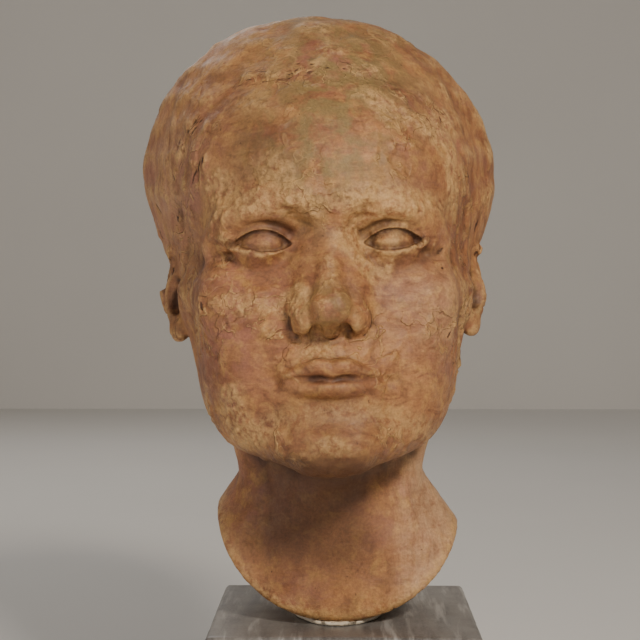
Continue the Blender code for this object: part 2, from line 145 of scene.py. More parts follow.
def roll(p, points, radii, steps=4):
    """Roll of clay laid along a smooth curve through the points."""
    pts = np.asarray(points, float)
    ends = np.vstack([2 * pts[0] - pts[1], pts, 2 * pts[-1] - pts[-2]])
    line, thick = [], []
    for i in range(len(pts) - 1):
        p0, p1, p2, p3 = ends[i:i + 4]
        for s in np.linspace(0.0, 1.0, steps, endpoint=False):
            bend = (2 * p0 - 5 * p1 + 4 * p2 - p3) * s * s + (-p0 + 3 * p1 - 3 * p2 + p3) * s ** 3
            line.append(0.5 * (2 * p1 + (p2 - p0) * s + bend))
            thick.append(radii[i] + (radii[i + 1] - radii[i]) * s)
    line.append(pts[-1])
    thick.append(radii[-1])
    d = np.full(len(p), 1e9)
    for i in range(len(line) - 1):
        d = np.minimum(d, taper(p, line[i], line[i + 1], thick[i], thick[i + 1]))
    return d


def near(form, q, d, centre, reach):
    """Works a form in only where the points lie within reach of it."""
    close = ((q - np.asarray(centre, float)) ** 2).sum(axis=1) < reach * reach
    if close.any():
        d = d.copy()
        d[close] = form(q[close], d[close])
    return d


def skull(q):
    d = lump(q, (0, 6, 31), (77.5, 95, 89))
    d = blend(d, lump(q, (0, 28, 26), (77, 72, 74)), 18)
    d = blend(d, lump(q, (0, -20, 50), (74, 60, 52)), 10)
    return blend(d, lump(q, (0, -40, 36), (61, 51.5, 46)), 22)


def face(q, d):
    """Planes of a plain, regular face: brow, cheekbones, jaw, muzzle and chin."""
    brow = [(0, -83, 13), (14, -87, 16.5), (32, -83, 18), (48, -70, 12), (57, -58, 2)]
    d = blend(d, roll(q, brow, [7, 6.5, 6, 6, 5]), 13)
    d = blend(d, lump(q, (0, -46, -36), (50, 42, 52)), 20)
    d = blend(d, lump(q, (42, -60, -27), (19, 18, 14), turn("Z", -28)), 18)
    d = blend(d, taper(q, (50, -54, -24), (68, -8, -16), 11, 9), 20)
    jaw = [(0, -78, -98), (16, -73, -97), (36, -48, -88), (52, -14, -72), (62, 0, -30)]
    d = blend(d, roll(q, jaw, [15, 14, 12, 12, 13]), 18)
    d = blend(d, lump(q, (33, -44, -60), (27, 37, 38)), 20)
    d = blend(d, lump(q, (49, -26, -46), (15, 26, 28)), 16)
    d = blend(d, lump(q, (0, -40, -78), (36, 40, 26)), 18)
    d = blend(d, lump(q, (0, -71, -66), (29, 23.5, 27)), 13)
    d = blend(d, lump(q, (0, -80, -99), (15, 14.5, 12)), 14)
    return blend(d, lump(q, (8.5, -82, -101), (9, 9.5, 9)), 10)


EYE = np.array([31.5, -72.5, 0.0])


def eye(q, d):
    """Socket, blank ball and two plain lids."""
    d = press(d, lump(q, (31, -97, 1), (20.5, 17.5, 11.5), turn("Z", -12)), 9)
    d = press(d, lump(q, (19, -93, 3), (6.0, 9.0, 7.5)), 9)
    e = q - EYE
    ball = np.sqrt((e * e).sum(axis=1)) - 12.5
    u, w = e[:, 0], e[:, 2]
    lids = lump(q, EYE, (15.0, 14.9, 14.4))
    lids = blend(lids, lump(q, EYE + (-14.2, -5.0, -1.2), (4.4, 4.2, 3.2)), 4)
    lids = blend(lids, lump(q, EYE + (14.2, -3.4, 0.6), (4.4, 5, 3.6)), 4)
    upper = 5.4 - 5.8 * ((u - 0.4) / 15.0) ** 2 + 0.035 * u
    lower = -4.9 + 5.0 * ((u + 0.6) / 15.2) ** 2 + 0.035 * u
    opening = np.maximum(np.maximum(w - upper, lower - w), e[:, 1] + 2.0)
    lids = press(lids, opening, 1.0)
    d = blend(d, lids, 3.2)
    d = blend(d, ball, 0.5)
    crease = [(-13.5, -10.6, 2.5), (-9, -13.4, 7.6), (0, -14, 9.8), (9, -12, 8), (15.5, -7, 2.4)]
    d = press(d, roll(q, np.array(crease) + EYE, [0.7, 1.2, 1.3, 1.2, 0.6], 3), 1.6)
    under = [(-11, -11.8, -8.5), (0, -12.2, -12.2), (11, -9.0, -9.5)]
    return press(d, roll(q, np.array(under) + EYE, [0.6, 1.0, 0.6], 3), 4)


def brow_fold(q, d):
    fold = [(17, -83.5, 9.5), (25, -87.2, 14), (37, -85.2, 14.2), (47, -76, 9), (51, -69, 1)]
    return blend(d, roll(q, fold, [3, 4.2, 4.6, 4.4, 3]), 5)


def nose(q, d):
    bridge = [(0, -83, 8), (0, -90, -7), (0, -97.5, -22), (0, -102.5, -34.5)]
    d = blend(d, roll(q, bridge, [6, 5.6, 5.8, 7.6]), 7)
    d = blend(d, roll(q, [(5.5, -79, 2), (7.5, -84, -16), (9.5, -90, -36)], [6.6, 8, 8.6]), 8)
    d = blend(d, lump(q, (3.2, -104.4, -36.0), (5.6, 6.6, 6.4)), 6)
    d = blend(d, lump(q, (12.6, -93.4, -40.2), (5.2, 9.2, 6.6), turn("Z", -16)), 3.8)
    d = blend(d, taper(q, (0, -105.5, -39.0), (0, -94.5, -45.0), 3.2, 3.8), 3.4)
    d = press(d, lump(q, (7.2, -97.6, -47.6), (3.1, 6.4, 5.6), turn("Z", -18)), 1.4)
    crease = [(12, -90, -31), (17.3, -88.4, -35), (18.4, -86.6, -41.5), (15.4, -88.2, -46.6)]
    return press(d, roll(q, crease, [0.4, 0.7, 0.8, 0.5], 3), 2.4)


def mouth(q, d):
    d = press(d, taper(q, (0, -102.4, -49.5), (0, -103.2, -58), 2.4, 3.0), 3.5)
    upper = [(25.5, -84.5, -68.2), (17, -91.2, -66), (6.5, -96.4, -63), (0, -96.2, -64.6)]
    d = blend(d, roll(q, upper, [1.4, 3.2, 4.4, 4.2]), 2.4)
    lower = [(24, -84.8, -70.4), (13, -91.4, -72.6), (5, -94.2, -73.8), (0, -94.2, -74.2)]
    d = blend(d, roll(q, lower, [1.4, 4.2, 5.2, 5.2]), 2.4)
    line = [(27.5, -85, -68.2), (19, -93, -68.4), (8, -99.6, -68.4), (0, -100.6, -69.6)]
    d = press(d, roll(q, line, [0.7, 1.0, 1.2, 1.2]), 1.5)
    d = press(d, lump(q, (29, -88, -68.4), (3.2, 4, 4)), 5)
    return press(d, taper(q, (-9, -101.6, -84.5), (9, -101.6, -84.5), 7.2, 7.2), 8)


EAR_CENTRE = np.array([78.0, 7.0, -13.0])
EAR_TURN = turn("Z", -40) @ turn("X", 12)


def ear(q, d):
    """Small close-set ear, in axes u (back), v (up) and w (out)."""
    e = (q - EAR_CENTRE) @ EAR_TURN
    p = np.stack([e[:, 1], e[:, 2], e[:, 0]], axis=1)
    a = blend(lump(p, (1, 4, 0), (14, 19, 3.6)), lump(p, (-3, -14, 0), (8.5, 11, 3.8)), 6)
    a = blend(a, lump(p, (-2, -1, -8.5), (14, 20, 9.5)), 6)
    rim = [(-5.5, -1, 1.4), (-9.5, 3.5, 3.0), (-10.5, 11, 3.8), (-6, 19.5, 4.0), (3, 23, 3.8),
           (11.5, 19, 3.4), (15, 9, 3.0), (13.5, -2, 2.6), (9, -11, 2.0)]
    a = blend(a, roll(p, rim, [1.4, 2.1, 2.4, 2.6, 2.7, 2.8, 2.8, 2.6, 2.0]), 1.6)
    fold = [(3.5, -12.5, 2.8), (7.6, -5, 3.4), (7.2, 3.5, 3.4), (3, 10, 3.0), (-3.5, 14, 2.0)]
    a = blend(a, roll(p, fold, [2.0, 2.3, 2.3, 2.0, 1.4]), 2)
    a = blend(a, roll(p, [(5.5, 8, 2.6), (8, 15, 1.8)], [1.8, 1.2]), 2)
    a = blend(a, lump(p, (-10, -6.5, 3), (3.2, 4.8, 3.6)), 2.6)
    a = blend(a, lump(p, (1, -13.5, 2.6), (4.5, 2.8, 2.6)), 2.4)
    a = blend(a, lump(p, (-3.5, -20, 1.2), (6.6, 6.6, 3.6)), 4)
    a = press(a, lump(p, (-2.2, -4.5, 5.2), (6.2, 7.4, 7.2)), 1.6)
    a = press(a, lump(p, (-3.8, 6.6, 4.8), (5.6, 3.4, 3.8)), 1.4)
    return blend(d, a, 3)


def hairline_depth(q):
    """How far behind the hair's front edge and above its lower edge, less a ragged margin."""
    across = np.sqrt(q[:, 0] ** 2 + 900.0)
    front = 0.897 * q[:, 1] + 0.377 * q[:, 2] - 0.35 * across + 39.5
    lower = 0.4855 * q[:, 1] + 0.862 * q[:, 2] - 0.144 * across + 18.0
    ragged = 2.4 * np.sin(q[:, 0] * 0.19 + q[:, 2] * 0.11) + 1.3 * np.sin(q[:, 2] * 0.33 - q[:, 0] * 0.13)
    return front + ragged, lower + ragged


def hair(q, d):
    """Close cap of hair: nearly flush at its edge, fullest at the upper temples, tucked in below."""
    cap = blend(lump(q, (0, 14, 52), (98, 100, 84)), skull(q) - 7.0, 14)
    cap = blend(cap, lump(q, (70, 12, 50), (28, 58, 30)), 10)
    cap = blend(cap, lump(q, (0, 34, -8), (70, 60, 56)), 20)
    front, lower = hairline_depth(q)
    d = blend(d, lump(q, (0, 44, -40), (52, 44, 50)), 20)
    rise = np.clip(blend(front, 2.0 * lower, 12) / HAIR_RISE, 0.0, 1.0)
    rise = rise * (1.0 + rise - rise * rise)
    cap = (1.0 - rise) * (d - HAIR_EDGE) + rise * cap
    cap = trim(trim(cap, -front, 3), -lower, 6)
    return blend(d, cap, 2)


def head_form(q):
    q = q.copy()
    q[:, 0] += CAP_DRIFT * np.maximum(q[:, 2] - 20.0, 0.0)
    q[:, 0] = np.sqrt(q[:, 0] ** 2 + 0.05)
    d = near(face, q, skull(q), (20, -50, -50), 120)
    d = near(eye, q, d, EYE, 34)
    d = near(brow_fold, q, d, (35, -80, 8), 40)
    d = near(nose, q, d, (6, -94, -22), 46)
    d = near(mouth, q, d, (10, -92, -70), 42)
    return near(ear, q, hair(q, d), EAR_CENTRE, 44)


def neck_form(p):
    """Oval neck that flares towards its cut, with the two cords that run down from the ears."""
    z = p[:, 2]
    flare = np.maximum(FLARE_FROM - z, 0.0)
    half_width = NECK_HALF_WIDTH + FLARE_RATE * (np.sqrt(flare * flare + 36) - 6)
    half_depth = NECK_HALF_DEPTH - 0.035 * flare
    dx = (p[:, 0] + 7.2) / half_width
    dy = (p[:, 1] - 9.0) / half_depth
    d = (np.sqrt(dx * dx + dy * dy) - 1.0) * half_width * 0.9
    d = trim(d, z - NECK_TOP, 16)
    for side in (-1, 1):
        mastoid = HEAD_TURN @ np.array([60.0 * side, 16.0, -34.0]) + EYE_LINE
        d = blend(d, taper(p, mastoid, (-5 + 15 * side, -34, 12), 11, 6), 14)
    d = blend(d, lump(p, (-7, -41, 84), (9, 9, 13)), 14)
    return trim(d, lump(p, CUT_CENTRE, CUT_RADII), 1.6)


def clay(p):
    """Distance from the head's surface, negative inside the clay."""
    d = blend(head_form((p - EYE_LINE) @ HEAD_TURN), neck_form(p), 14)
    return np.maximum(d, CUT_FLAT - p[:, 2])


# ---------------------------------------------------------------- the clay's skin

def smooth(p, size, offset=0.0, octaves=1):
    """Even noise of about that size in millimetres, -1 to 1."""
    q = (np.asarray(p) / size + offset).tolist()
    if octaves == 1:
        return np.array([noise.noise(v) for v in q])
    return np.array([noise.fractal(v, 1.0, 2.0, octaves) for v in q])


def step(x, low, high):
    t = np.clip((x - low) / (high - low), 0.0, 1.0)
    return t * t * (3.0 - 2.0 * t)


def cells(p, size, offset=0.0):
    """Distance to the nearest of scattered points, and a number for each point's cell."""
    found = [noise.voronoi(v) for v in (np.asarray(p) / size + offset).tolist()]
    first = np.array([d[0] for d, _ in found])
    number = np.array([noise.cell(c[0] * 7.3) for _, c in found])
    return first * size, number


def cut_lines():
    """Start, direction and length of each short knife cut, in the head's own frame."""
    rng = np.random.default_rng(5)
    for centre, spread, count, length, along in CUT_PLACES:
        for _ in range(count):
            start = np.asarray(centre, float) + rng.normal(0.0, 1.0, 3) * spread
            yield start, np.asarray(along, float) + rng.normal(0.0, 0.35, 3), length * rng.uniform(0.5, 1.3)


def cuts(q):
    """Depth of the knife cuts, 1 on each cut's line."""
    depth = np.zeros(len(q))
    for start, way, length in cut_lines():
        close = np.flatnonzero(((q - start) ** 2).sum(axis=1) < (length + 16.0) ** 2)
        if not len(close):
            continue
        # the cut follows the skin, so it is laid on the points nearest to its ends
        first = q[close[np.argmin(((q[close] - start) ** 2).sum(axis=1))]]
        end = first + way / np.linalg.norm(way) * length
        last = q[close[np.argmin(((q[close] - end) ** 2).sum(axis=1))]]
        middle = (first + last) / 2 + way[[2, 0, 1]] * 0.06 * length
        away = np.minimum(taper(q[close], first, middle, 0.0, 0.25),
                          taper(q[close], middle, last, 0.25, 0.0))
        depth[close] = np.maximum(depth[close], 1.0 - step(away, 0.2, 1.25))
    return depth


def skin(p, amount):
    """Height of the worked surface in millimetres, and where it is neck, torn, cut or stroked upright."""
    q = (p - EYE_LINE) @ HEAD_TURN
    front, lower = hairline_depth(np.column_stack([np.abs(q[:, 0]), q[:, 1:]]))
    on_hair = step(np.minimum(front, lower), 0.0, 9.0)
    on_neck = step(100.0 - p[:, 2], 0.0, 14.0) * step(-q[:, 2], 70.0, 100.0)
    x = np.abs(q[:, 0])
    features = np.exp(-(((x - 31) / 20) ** 2 + (q[:, 2] / 13) ** 2) ** 2) * (q[:, 1] < -60)
    features += np.exp(-((x / 30) ** 2 + ((q[:, 2] + 68) / 13) ** 2) ** 2) * (q[:, 1] < -70)
    features += np.exp(-((x / 19) ** 2 + ((q[:, 2] + 40) / 12) ** 2) ** 2) * (q[:, 1] < -84)
    in_ear = np.exp(-(((q - EAR_CENTRE * (1, 1, 1)) / (14, 18, 26)) ** 2).sum(axis=1) ** 2)
    in_ear += np.exp(-(((q - EAR_CENTRE * (-1, 1, 1)) / (14, 18, 26)) ** 2).sum(axis=1) ** 2)
    fine = np.clip(features + in_ear, 0.0, 1.0)
    bold = 1.0 - 0.72 * fine

    bend = np.column_stack([smooth(p, 17, k) for k in (3.1, 7.7, 12.9)]) * 5.0
    wavy = p + bend

    # broad planes left by a board and the thumb
    middle, _ = cells(wavy, 29.0, 2.3)
    planes = (middle ** 2 / 260.0 - 0.7) * (0.35 + 0.45 * on_hair) * (1.0 - 0.6 * on_neck)
    # pats of clay laid on and pressed flat: raised patches with a crisp edge, in places only
    worked = step(smooth(p, 34, 17.0), -0.10, 0.16) * (1.0 - 0.55 * on_hair) * (1.0 - 0.95 * on_neck)
    worked *= 1.0 - 0.85 * np.exp(-(((q[:, 0] + 8) / 34) ** 2 + ((q[:, 2] - 48) / 24) ** 2))
    pats = 0.80 * step(smooth(wavy, 17, 21.0, 2), 0.03, 0.10)
    pats += 0.60 * step(smooth(wavy, 9, 33.0, 2), 0.10, 0.18)
    pats = pats * (0.20 + 0.80 * worked)
    # crumbs along the brow and in a few torn spots
    brow = np.exp(-(((x - 30) / 34) ** 2 + ((q[:, 2] - 19) / 9) ** 2) ** 2) * (q[:, 1] < -55)
    torn = step(smooth(p, 31, 57.0), 0.16, 0.36) * (1.0 - on_neck) * (1.0 - 0.7 * on_hair)
    torn = np.clip(torn + brow, 0, 1)
    crumbs = 1.1 * torn * np.maximum(smooth(p, 3.4, 61.0, 2), -0.25)
    middle, number = cells(p, 10.5, 71.0)
    pits = 0.60 * (1.0 - step(middle, 0.4, 1.5)) * (number > 0.62)
    # strokes of the tool: down the hair at the sides, across the crown and round the neck
    upright = step(x, 40.0, 72.0)
    streaks = smooth(q * (0.20, 0.20, 0.035), 1.0, 101.0) * 0.34 * on_hair * upright
    strokes = smooth(q * (0.045, 0.11, 0.11), 1.0, 111.0) * 0.42 * on_hair * (1.0 - upright)
    ruck = smooth(p * (0.05, 0.05, 0.17), 1.0, 121.0) * 0.26 * on_neck
    height = bold * (planes + pats + crumbs - pits) + streaks + strokes + ruck
    # flats shaved down both sides of the neck
    flats = step(np.abs(wavy[:, 0] + 2.0), 38.0, 41.0) * step(-q[:, 1], -20.0, 10.0)
    height -= 1.0 * on_neck * flats
    slit = cuts(q)
    height -= 0.8 * slit
    # the neck's rim is thumbed smooth
    rim = np.abs(lump(p, CUT_CENTRE, CUT_RADII))
    height *= 0.35 + 0.65 * step(rim, 1.0, 6.0)
    relief = {
        "neck": on_neck, "torn": torn, "slit": slit, "worked": worked * bold,
        "upright": np.maximum(np.maximum(on_hair, 0.35) * upright, 0.5 * on_neck),
        "edge_away": front, "edge_along": 75.0 * np.arctan2(q[:, 0], q[:, 2] - 20.0),
    }
    return (height - 0.35) * amount, relief


# centre, spread, number, length and run of the knife cuts, in the head's own frame
CUT_PLACES = [
    ((-66, -50, 44), (5, 9, 13), 4, 6.0, (0.2, -0.5, 1.0)),
    ((-86, 4, 30), (5, 12, 22), 7, 5.5, (0.1, 0.2, 1.0)),
    ((86, 4, 34), (6, 12, 24), 6, 5.0, (0.2, 0.3, 1.0)),
    ((44, -60, -34), (12, 8, 16), 5, 5.0, (0.6, 0.3, 0.8)),
    ((-46, -58, -36), (10, 8, 14), 5, 5.0, (0.5, 0.3, -0.8)),
    ((0, 60, 100), (50, 30, 20), 10, 6.0, (1.0, 0.3, -0.3)),
]


def points_of(mesh):
    flat = np.empty(len(mesh.vertices) * 3, np.float32)
    mesh.vertices.foreach_get("co", flat)
    return flat.reshape(-1, 3).astype(float)


def place_points(mesh, p):
    mesh.vertices.foreach_set("co", p.astype(np.float32).ravel())
    mesh.update()


def neighbours(mesh):
    """A function that averages a value of each point over the points next to it."""
    count = len(mesh.vertices)
    pairs = np.empty(len(mesh.edges) * 2, np.int32)
    mesh.edges.foreach_get("vertices", pairs)
    a, b = pairs.reshape(-1, 2).T
    links = np.maximum(np.bincount(pairs, minlength=count), 1)

    def average(v):
        if v.ndim == 1:
            return (np.bincount(a, v[b], count) + np.bincount(b, v[a], count)) / links
        return np.column_stack([average(v[:, k]) for k in range(v.shape[1])])

    return average


def slope_of(form, p, reach=0.12):
    d = form(p)
    slope = np.stack([form(p + shift) - d for shift in np.eye(3) * reach], axis=1) / reach
    steep = np.linalg.norm(slope, axis=1, keepdims=True)
    return d, steep, slope / np.maximum(steep, 1e-6)


def settle(mesh, form, rounds, reach, relax=0.5):
    """Moves every point onto a form's surface, easing the points apart along it."""
    p = points_of(mesh)
    average = neighbours(mesh)
    for number in range(rounds):
        d, steep, normal = slope_of(form, p)
        p = p - np.clip(d[:, None] / np.maximum(steep, 0.35), -reach, reach) * normal
        if number < rounds - 2:
            ease = average(p) - p
            ease -= (ease * normal).sum(axis=1, keepdims=True) * normal * 0.8
            p = p + ease * relax
    place_points(mesh, p)


# ---------------------------------------------------------------- mesh helpers

def new_object(name, bm, smooth_faces=True, angle=40.0):
    mesh = bpy.data.meshes.new(name)
    bm.to_mesh(mesh)
    bm.free()
    if smooth_faces:
        mesh.shade_smooth()
        mesh.set_sharp_from_angle(angle=math.radians(angle))
    piece = bpy.data.objects.new(name, mesh)
    bpy.context.scene.collection.objects.link(piece)
    return piece


def applied(piece):
    """The piece with its modifiers worked into its mesh."""
    graph = bpy.context.evaluated_depsgraph_get()
    mesh = bpy.data.meshes.new_from_object(piece.evaluated_get(graph))
    old = piece.data
    piece.modifiers.clear()
    piece.data = mesh
    bpy.data.meshes.remove(old)
    return piece


def remesh(piece, voxel):
    skin_modifier = piece.modifiers.new("skin", "REMESH")
    skin_modifier.mode = "VOXEL"
    skin_modifier.voxel_size = voxel
    applied(piece)


def combine(piece, other, operation="DIFFERENCE"):
    cut = piece.modifiers.new("cut", "BOOLEAN")
    cut.operation = operation
    cut.object = other
    applied(piece)
    bpy.data.objects.remove(other)


def ball(bm, place, centre, radii, detail=4):
    form = place @ Matrix.Translation(centre) @ Matrix.Diagonal((*radii, 1.0))
    bmesh.ops.create_icosphere(bm, subdivisions=detail, radius=1.0, matrix=form)


def spun(name, profile, centre, steps=64):
    """Solid of revolution about the upright line through `centre`, from (radius, height) points."""
    bm = bmesh.new()
    verts = [bm.verts.new((centre[0] + r, centre[1], z)) for r, z in profile]
    closed = profile[0][0] > 0.0
    count = len(verts) if closed else len(verts) - 1
    edges = [bm.edges.new((verts[i], verts[(i + 1) % len(verts)])) for i in range(count)]
    bmesh.ops.spin(bm, geom=edges + verts, cent=(centre[0], centre[1], 0), axis=(0, 0, 1),
                   angle=2 * math.pi, steps=steps, use_merge=True)
    bmesh.ops.remove_doubles(bm, verts=bm.verts, dist=1e-7)
    bmesh.ops.recalc_face_normals(bm, faces=bm.faces)
    return new_object(name, bm)


def slice_up(bm, axis, places):
    """Lays a row of points round the mesh at each place along an axis."""
    normal = Vector((0, 0, 0))
    normal[axis] = 1.0
    for place in places:
        bmesh.ops.bisect_plane(bm, geom=bm.verts[:] + bm.edges[:] + bm.faces[:],
                               plane_co=normal * place, plane_no=normal)


def finish_piece(piece, material, slot, *nodes):
    """Hangs a finished piece on the frame, in place of the nodes that it stands for."""
    piece.data.materials.clear()
    piece.data.materials.append(material)
    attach(piece, "root")
    if nodes:
        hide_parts(*nodes)


# ---------------------------------------------------------------- finishes

def chip(red, green, blue):
    """Linear colour of a paint chip given in 8-bit sRGB."""
    def linear(v):
        v /= 255.0
        return v / 12.92 if v <= 0.04045 else ((v + 0.055) / 1.055) ** 2.4
    return (linear(red), linear(green), linear(blue), 1.0)


def picked(colour):
    """Linear colour of one picked in the panel."""
    return chip(*(255.0 * part for part in colour))


def shown(red, green, blue):
    """Colour for the panel of a paint chip given in 8-bit sRGB."""
    return (red / 255.0, green / 255.0, blue / 255.0)


class Finish:
    """A material being built: each call adds one node and returns its output."""

    def __init__(self, name):
        self.material = bpy.data.materials.new(name)
        self.material.use_nodes = True
        self.tree = self.material.node_tree
        self.shader = self.tree.nodes["Principled BSDF"]
        self.place = self.add("ShaderNodeTexCoord").outputs["Object"]

    def feed(self, socket, value):
        if isinstance(value, bpy.types.NodeSocket):
            self.tree.links.new(value, socket)
        else:
            socket.default_value = value

    def add(self, kind, feeds=None, **settings):
        node = self.tree.nodes.new(kind)
        for name, value in settings.items():
            setattr(node, name, value)
        for socket, value in (feeds or {}).items():
            self.feed(node.inputs[socket], value)
        return node

    def set(self, **sockets):
        for name, value in sockets.items():
            self.feed(self.shader.inputs[name.replace("_", " ")], value)

    def stretched(self, size, turned=(0.0, 0.0, 0.0)):
        """The place, turned and then measured in steps of size (x, y, z) in metres."""
        scale = tuple(1.0 / s for s in size)
        node = self.add("ShaderNodeMapping", {"Vector": self.place, "Rotation": turned, "Scale": scale})
        return node.outputs["Vector"]

    def cloud(self, size, detail=3.0, rough=0.5, warp=0.0, place=None):
        """Noise of about that size in metres, 0 to 1."""
        scale = 1.0 if place is not None else 1.0 / size
        feeds = {"Vector": place or self.place, "Scale": scale, "Detail": detail,
                 "Roughness": rough, "Distortion": warp}
        return self.add("ShaderNodeTexNoise", feeds).outputs["Fac"]

    def span(self, value, low, high, to_low=0.0, to_high=1.0):
        feeds = {"Value": value, "From Min": low, "From Max": high, "To Min": to_low, "To Max": to_high}
        node = self.add("ShaderNodeMapRange", feeds, interpolation_type="SMOOTHSTEP")
        return node.outputs["Result"]

    def maths(self, operation, a, b):
        return self.add("ShaderNodeMath", {0: a, 1: b}, operation=operation).outputs["Value"]

    def times(self, a, b):
        return self.maths("MULTIPLY", a, b)

    def line_at(self, value, level, width, strength):
        """A line of that width where a value passes a level."""
        away = self.maths("ABSOLUTE", self.maths("SUBTRACT", value, level), 0.0)
        return self.span(away, 0.0, width, strength, 0.0)

    def mix(self, amount, a, b, way="MIX"):
        node = self.add("ShaderNodeMix", {0: amount, 6: a, 7: b}, data_type="RGBA", blend_type=way)
        return node.outputs[2]

    def painted(self, name):
        return self.add("ShaderNodeAttribute", attribute_name=name).outputs["Fac"]

    def bump(self, height, strength, distance, under=None):
        feeds = {"Height": height, "Strength": strength, "Distance": distance}
        if under is not None:
            feeds["Normal"] = under
        return self.add("ShaderNodeBump", feeds).outputs["Normal"]


LIT_FLANK_CHIP, THROAT_SHADOW_CHIP = (204, 166, 128), (88, 56, 33)   # chips of the painted light on the neck's lit flank and of the painted shadow under the throat


def clay_finish(look):
    """Fired clay under a rubbed patina: ochre on the ridges, wash and painted shade in the hollows, veils
    between, painted shade and light on the neck.
    """
    f = Finish("patinated_clay")
    body = f.mix(f.span(f.cloud(0.034, 4, 0.55), 0.38, 0.62), chip(150, 98, 64), chip(174, 121, 76))
    across = f.cloud(1.0, 5, 0.62, 1.2, f.stretched((0.015, 0.015, 0.0058), (0.0, 0.3, 0.0)))
    upright = f.cloud(1.0, 5, 0.62, 0.6, f.stretched((0.0042, 0.009, 0.026), (0.0, -0.08, 0.0)))
    strokes = f.add("ShaderNodeMix", {0: f.painted("upright"), 2: across, 3: upright}).outputs[0]
    body = f.mix(f.span(strokes, 0.50, 0.66, 0, 0.60), body, chip(192, 142, 88))
    body = f.mix(f.span(strokes, 0.50, 0.34, 0, 0.60), body, chip(112, 68, 44))
    body = f.mix(f.span(f.cloud(0.0085, 5, 0.62, 0.5), 0.50, 0.66, 0, 0.6), body, chip(196, 149, 86))
    body = f.mix(f.span(f.cloud(0.0120, 4, 0.6, 0.7), 0.52, 0.66, 0, 0.5), body, chip(108, 68, 44))
    rosy = f.span(f.cloud(0.016, 4, 0.62, 0.4), 0.44, 0.62)
    body = f.mix(f.times(f.painted("mauve"), rosy), body, chip(164, 106, 88))
    body = f.mix(f.span(f.cloud(0.021, 4, 0.62, 0.4, f.stretched((0.02, 0.03, 0.012))), 0.52, 0.66, 0, 0.5),
                 body, chip(148, 99, 80))
    greenish = f.span(f.cloud(0.014, 4, 0.6, 0.4), 0.38, 0.6)
    body = f.mix(f.times(f.painted("olive"), greenish), body, chip(140, 117, 72))
    # painted light: paler clay on the neck's flank and the cheek on the key lamp's side, and on the hair's
    # far side, broken by the strokes
    lit_flank = f.times(f.painted("pale"), f.span(strokes, 0.36, 0.60, 0.35, 1.0))
    body = f.mix(lit_flank, body, chip(*LIT_FLANK_CHIP))
    ridge = f.times(f.painted("ridge"), f.span(f.cloud(0.0036, 4, 0.65), 0.34, 0.6))
    body = f.mix(ridge, body, picked(look.ridge_colour))
    # painted shade: darker under the chin and down the throat, on the chin's front, above one brow and on
    # the crown
    body = f.mix(f.painted("shade"), body, chip(*THROAT_SHADOW_CHIP))
    speck = f.span(f.cloud(0.0014, 3, 0.65), 0.30, 0.72, 0.84, 1.14)
    grey = f.add("ShaderNodeCombineColor", {0: speck, 1: speck, 2: speck}).outputs[0]
    body = f.mix(1.0, body, grey, "MULTIPLY")
    # slits where the hair begins, laid out along its edge
    away = f.times(f.painted("edge_away"), 0.75)
    laid = f.add("ShaderNodeCombineXYZ", {0: f.times(f.painted("edge_along"), 0.13), 1: away})
    dashes = f.cloud(1.0, 2, 0.5, 0.7, laid.outputs[0])
    band = f.span(f.maths("ABSOLUTE", f.painted("edge_away"), 0.0), 3.0, 7.0, 1.0, 0.0)
    dash = f.times(f.span(dashes, 0.60, 0.66), band)
    dash = f.times(dash, f.span(f.cloud(0.02, 3), 0.42, 0.55))
    pore = f.times(f.span(f.cloud(0.0026, 2, 0.5), 0.72, 0.78), 0.7)
    mark = f.maths("MAXIMUM", f.maths("MAXIMUM", dash, pore), f.span(f.painted("slit"), 0.35, 0.8, 0, 0.9))
    # thin flakes with one crisp edge, and the wash that lies against it
    leaf = f.cloud(0.018, 2, 0.5, 0.5)
    small_leaf = f.cloud(0.0085, 2, 0.5, 0.5)
    crest = f.line_at(leaf, 0.540, 0.016, 1.0)
    small_crest = f.line_at(small_leaf, 0.58, 0.022, 0.9)
    crest = f.times(f.maths("MAXIMUM", crest, small_crest), f.painted("worked"))
    crest = f.times(crest, f.span(f.cloud(0.009, 3), 0.42, 0.62))
    body = f.mix(f.times(crest, 0.9), body, picked(look.ridge_colour))
    foot = f.line_at(leaf, 0.512, 0.014, 0.42)
    foot = f.times(f.times(foot, f.painted("worked")), f.span(f.cloud(0.011, 2), 0.50, 0.62))
    mark = f.maths("MAXIMUM", mark, foot)
    # wash in the hollows: partly patina, partly painted shade where the clay shuts the light out, and
    # painted shadow under the chin
    wash_and_shade = f.times(f.painted("wash_and_shade"), f.span(f.cloud(0.006, 4, 0.6), 0.3, 0.55, 0.65, 1.0))
    body = f.mix(f.maths("MAXIMUM", mark, wash_and_shade), body, picked(look.wash_and_shade_colour))
    f.set(Base_Color=body, IOR=1.48)
    f.set(Roughness=f.span(f.cloud(0.008, 4, 0.6), 0.3, 0.7, 0.42, 0.64))
    grain = f.bump(f.cloud(0.0015, 5, 0.75), 0.5, 0.0006)
    crumb = f.cloud(0.0024, 4, 0.7)
    crumbled = f.bump(f.times(crumb, f.painted("ridge")), 0.8, 0.0011, grain)
    brushed = f.bump(strokes, 0.4, 0.0012, crumbled)
    leaves = f.maths("ADD", f.span(leaf, 0.512, 0.540), f.span(small_leaf, 0.55, 0.58, 0, 0.7))
    leaves = f.maths("ADD", leaves, f.times(crest, 0.6))
    leaved = f.bump(f.times(leaves, f.painted("worked")), 0.9, 0.0006, brushed)
    f.set(Normal=f.bump(f.maths("MAXIMUM", dash, pore), -0.8, 0.0012, leaved))
    return f.material


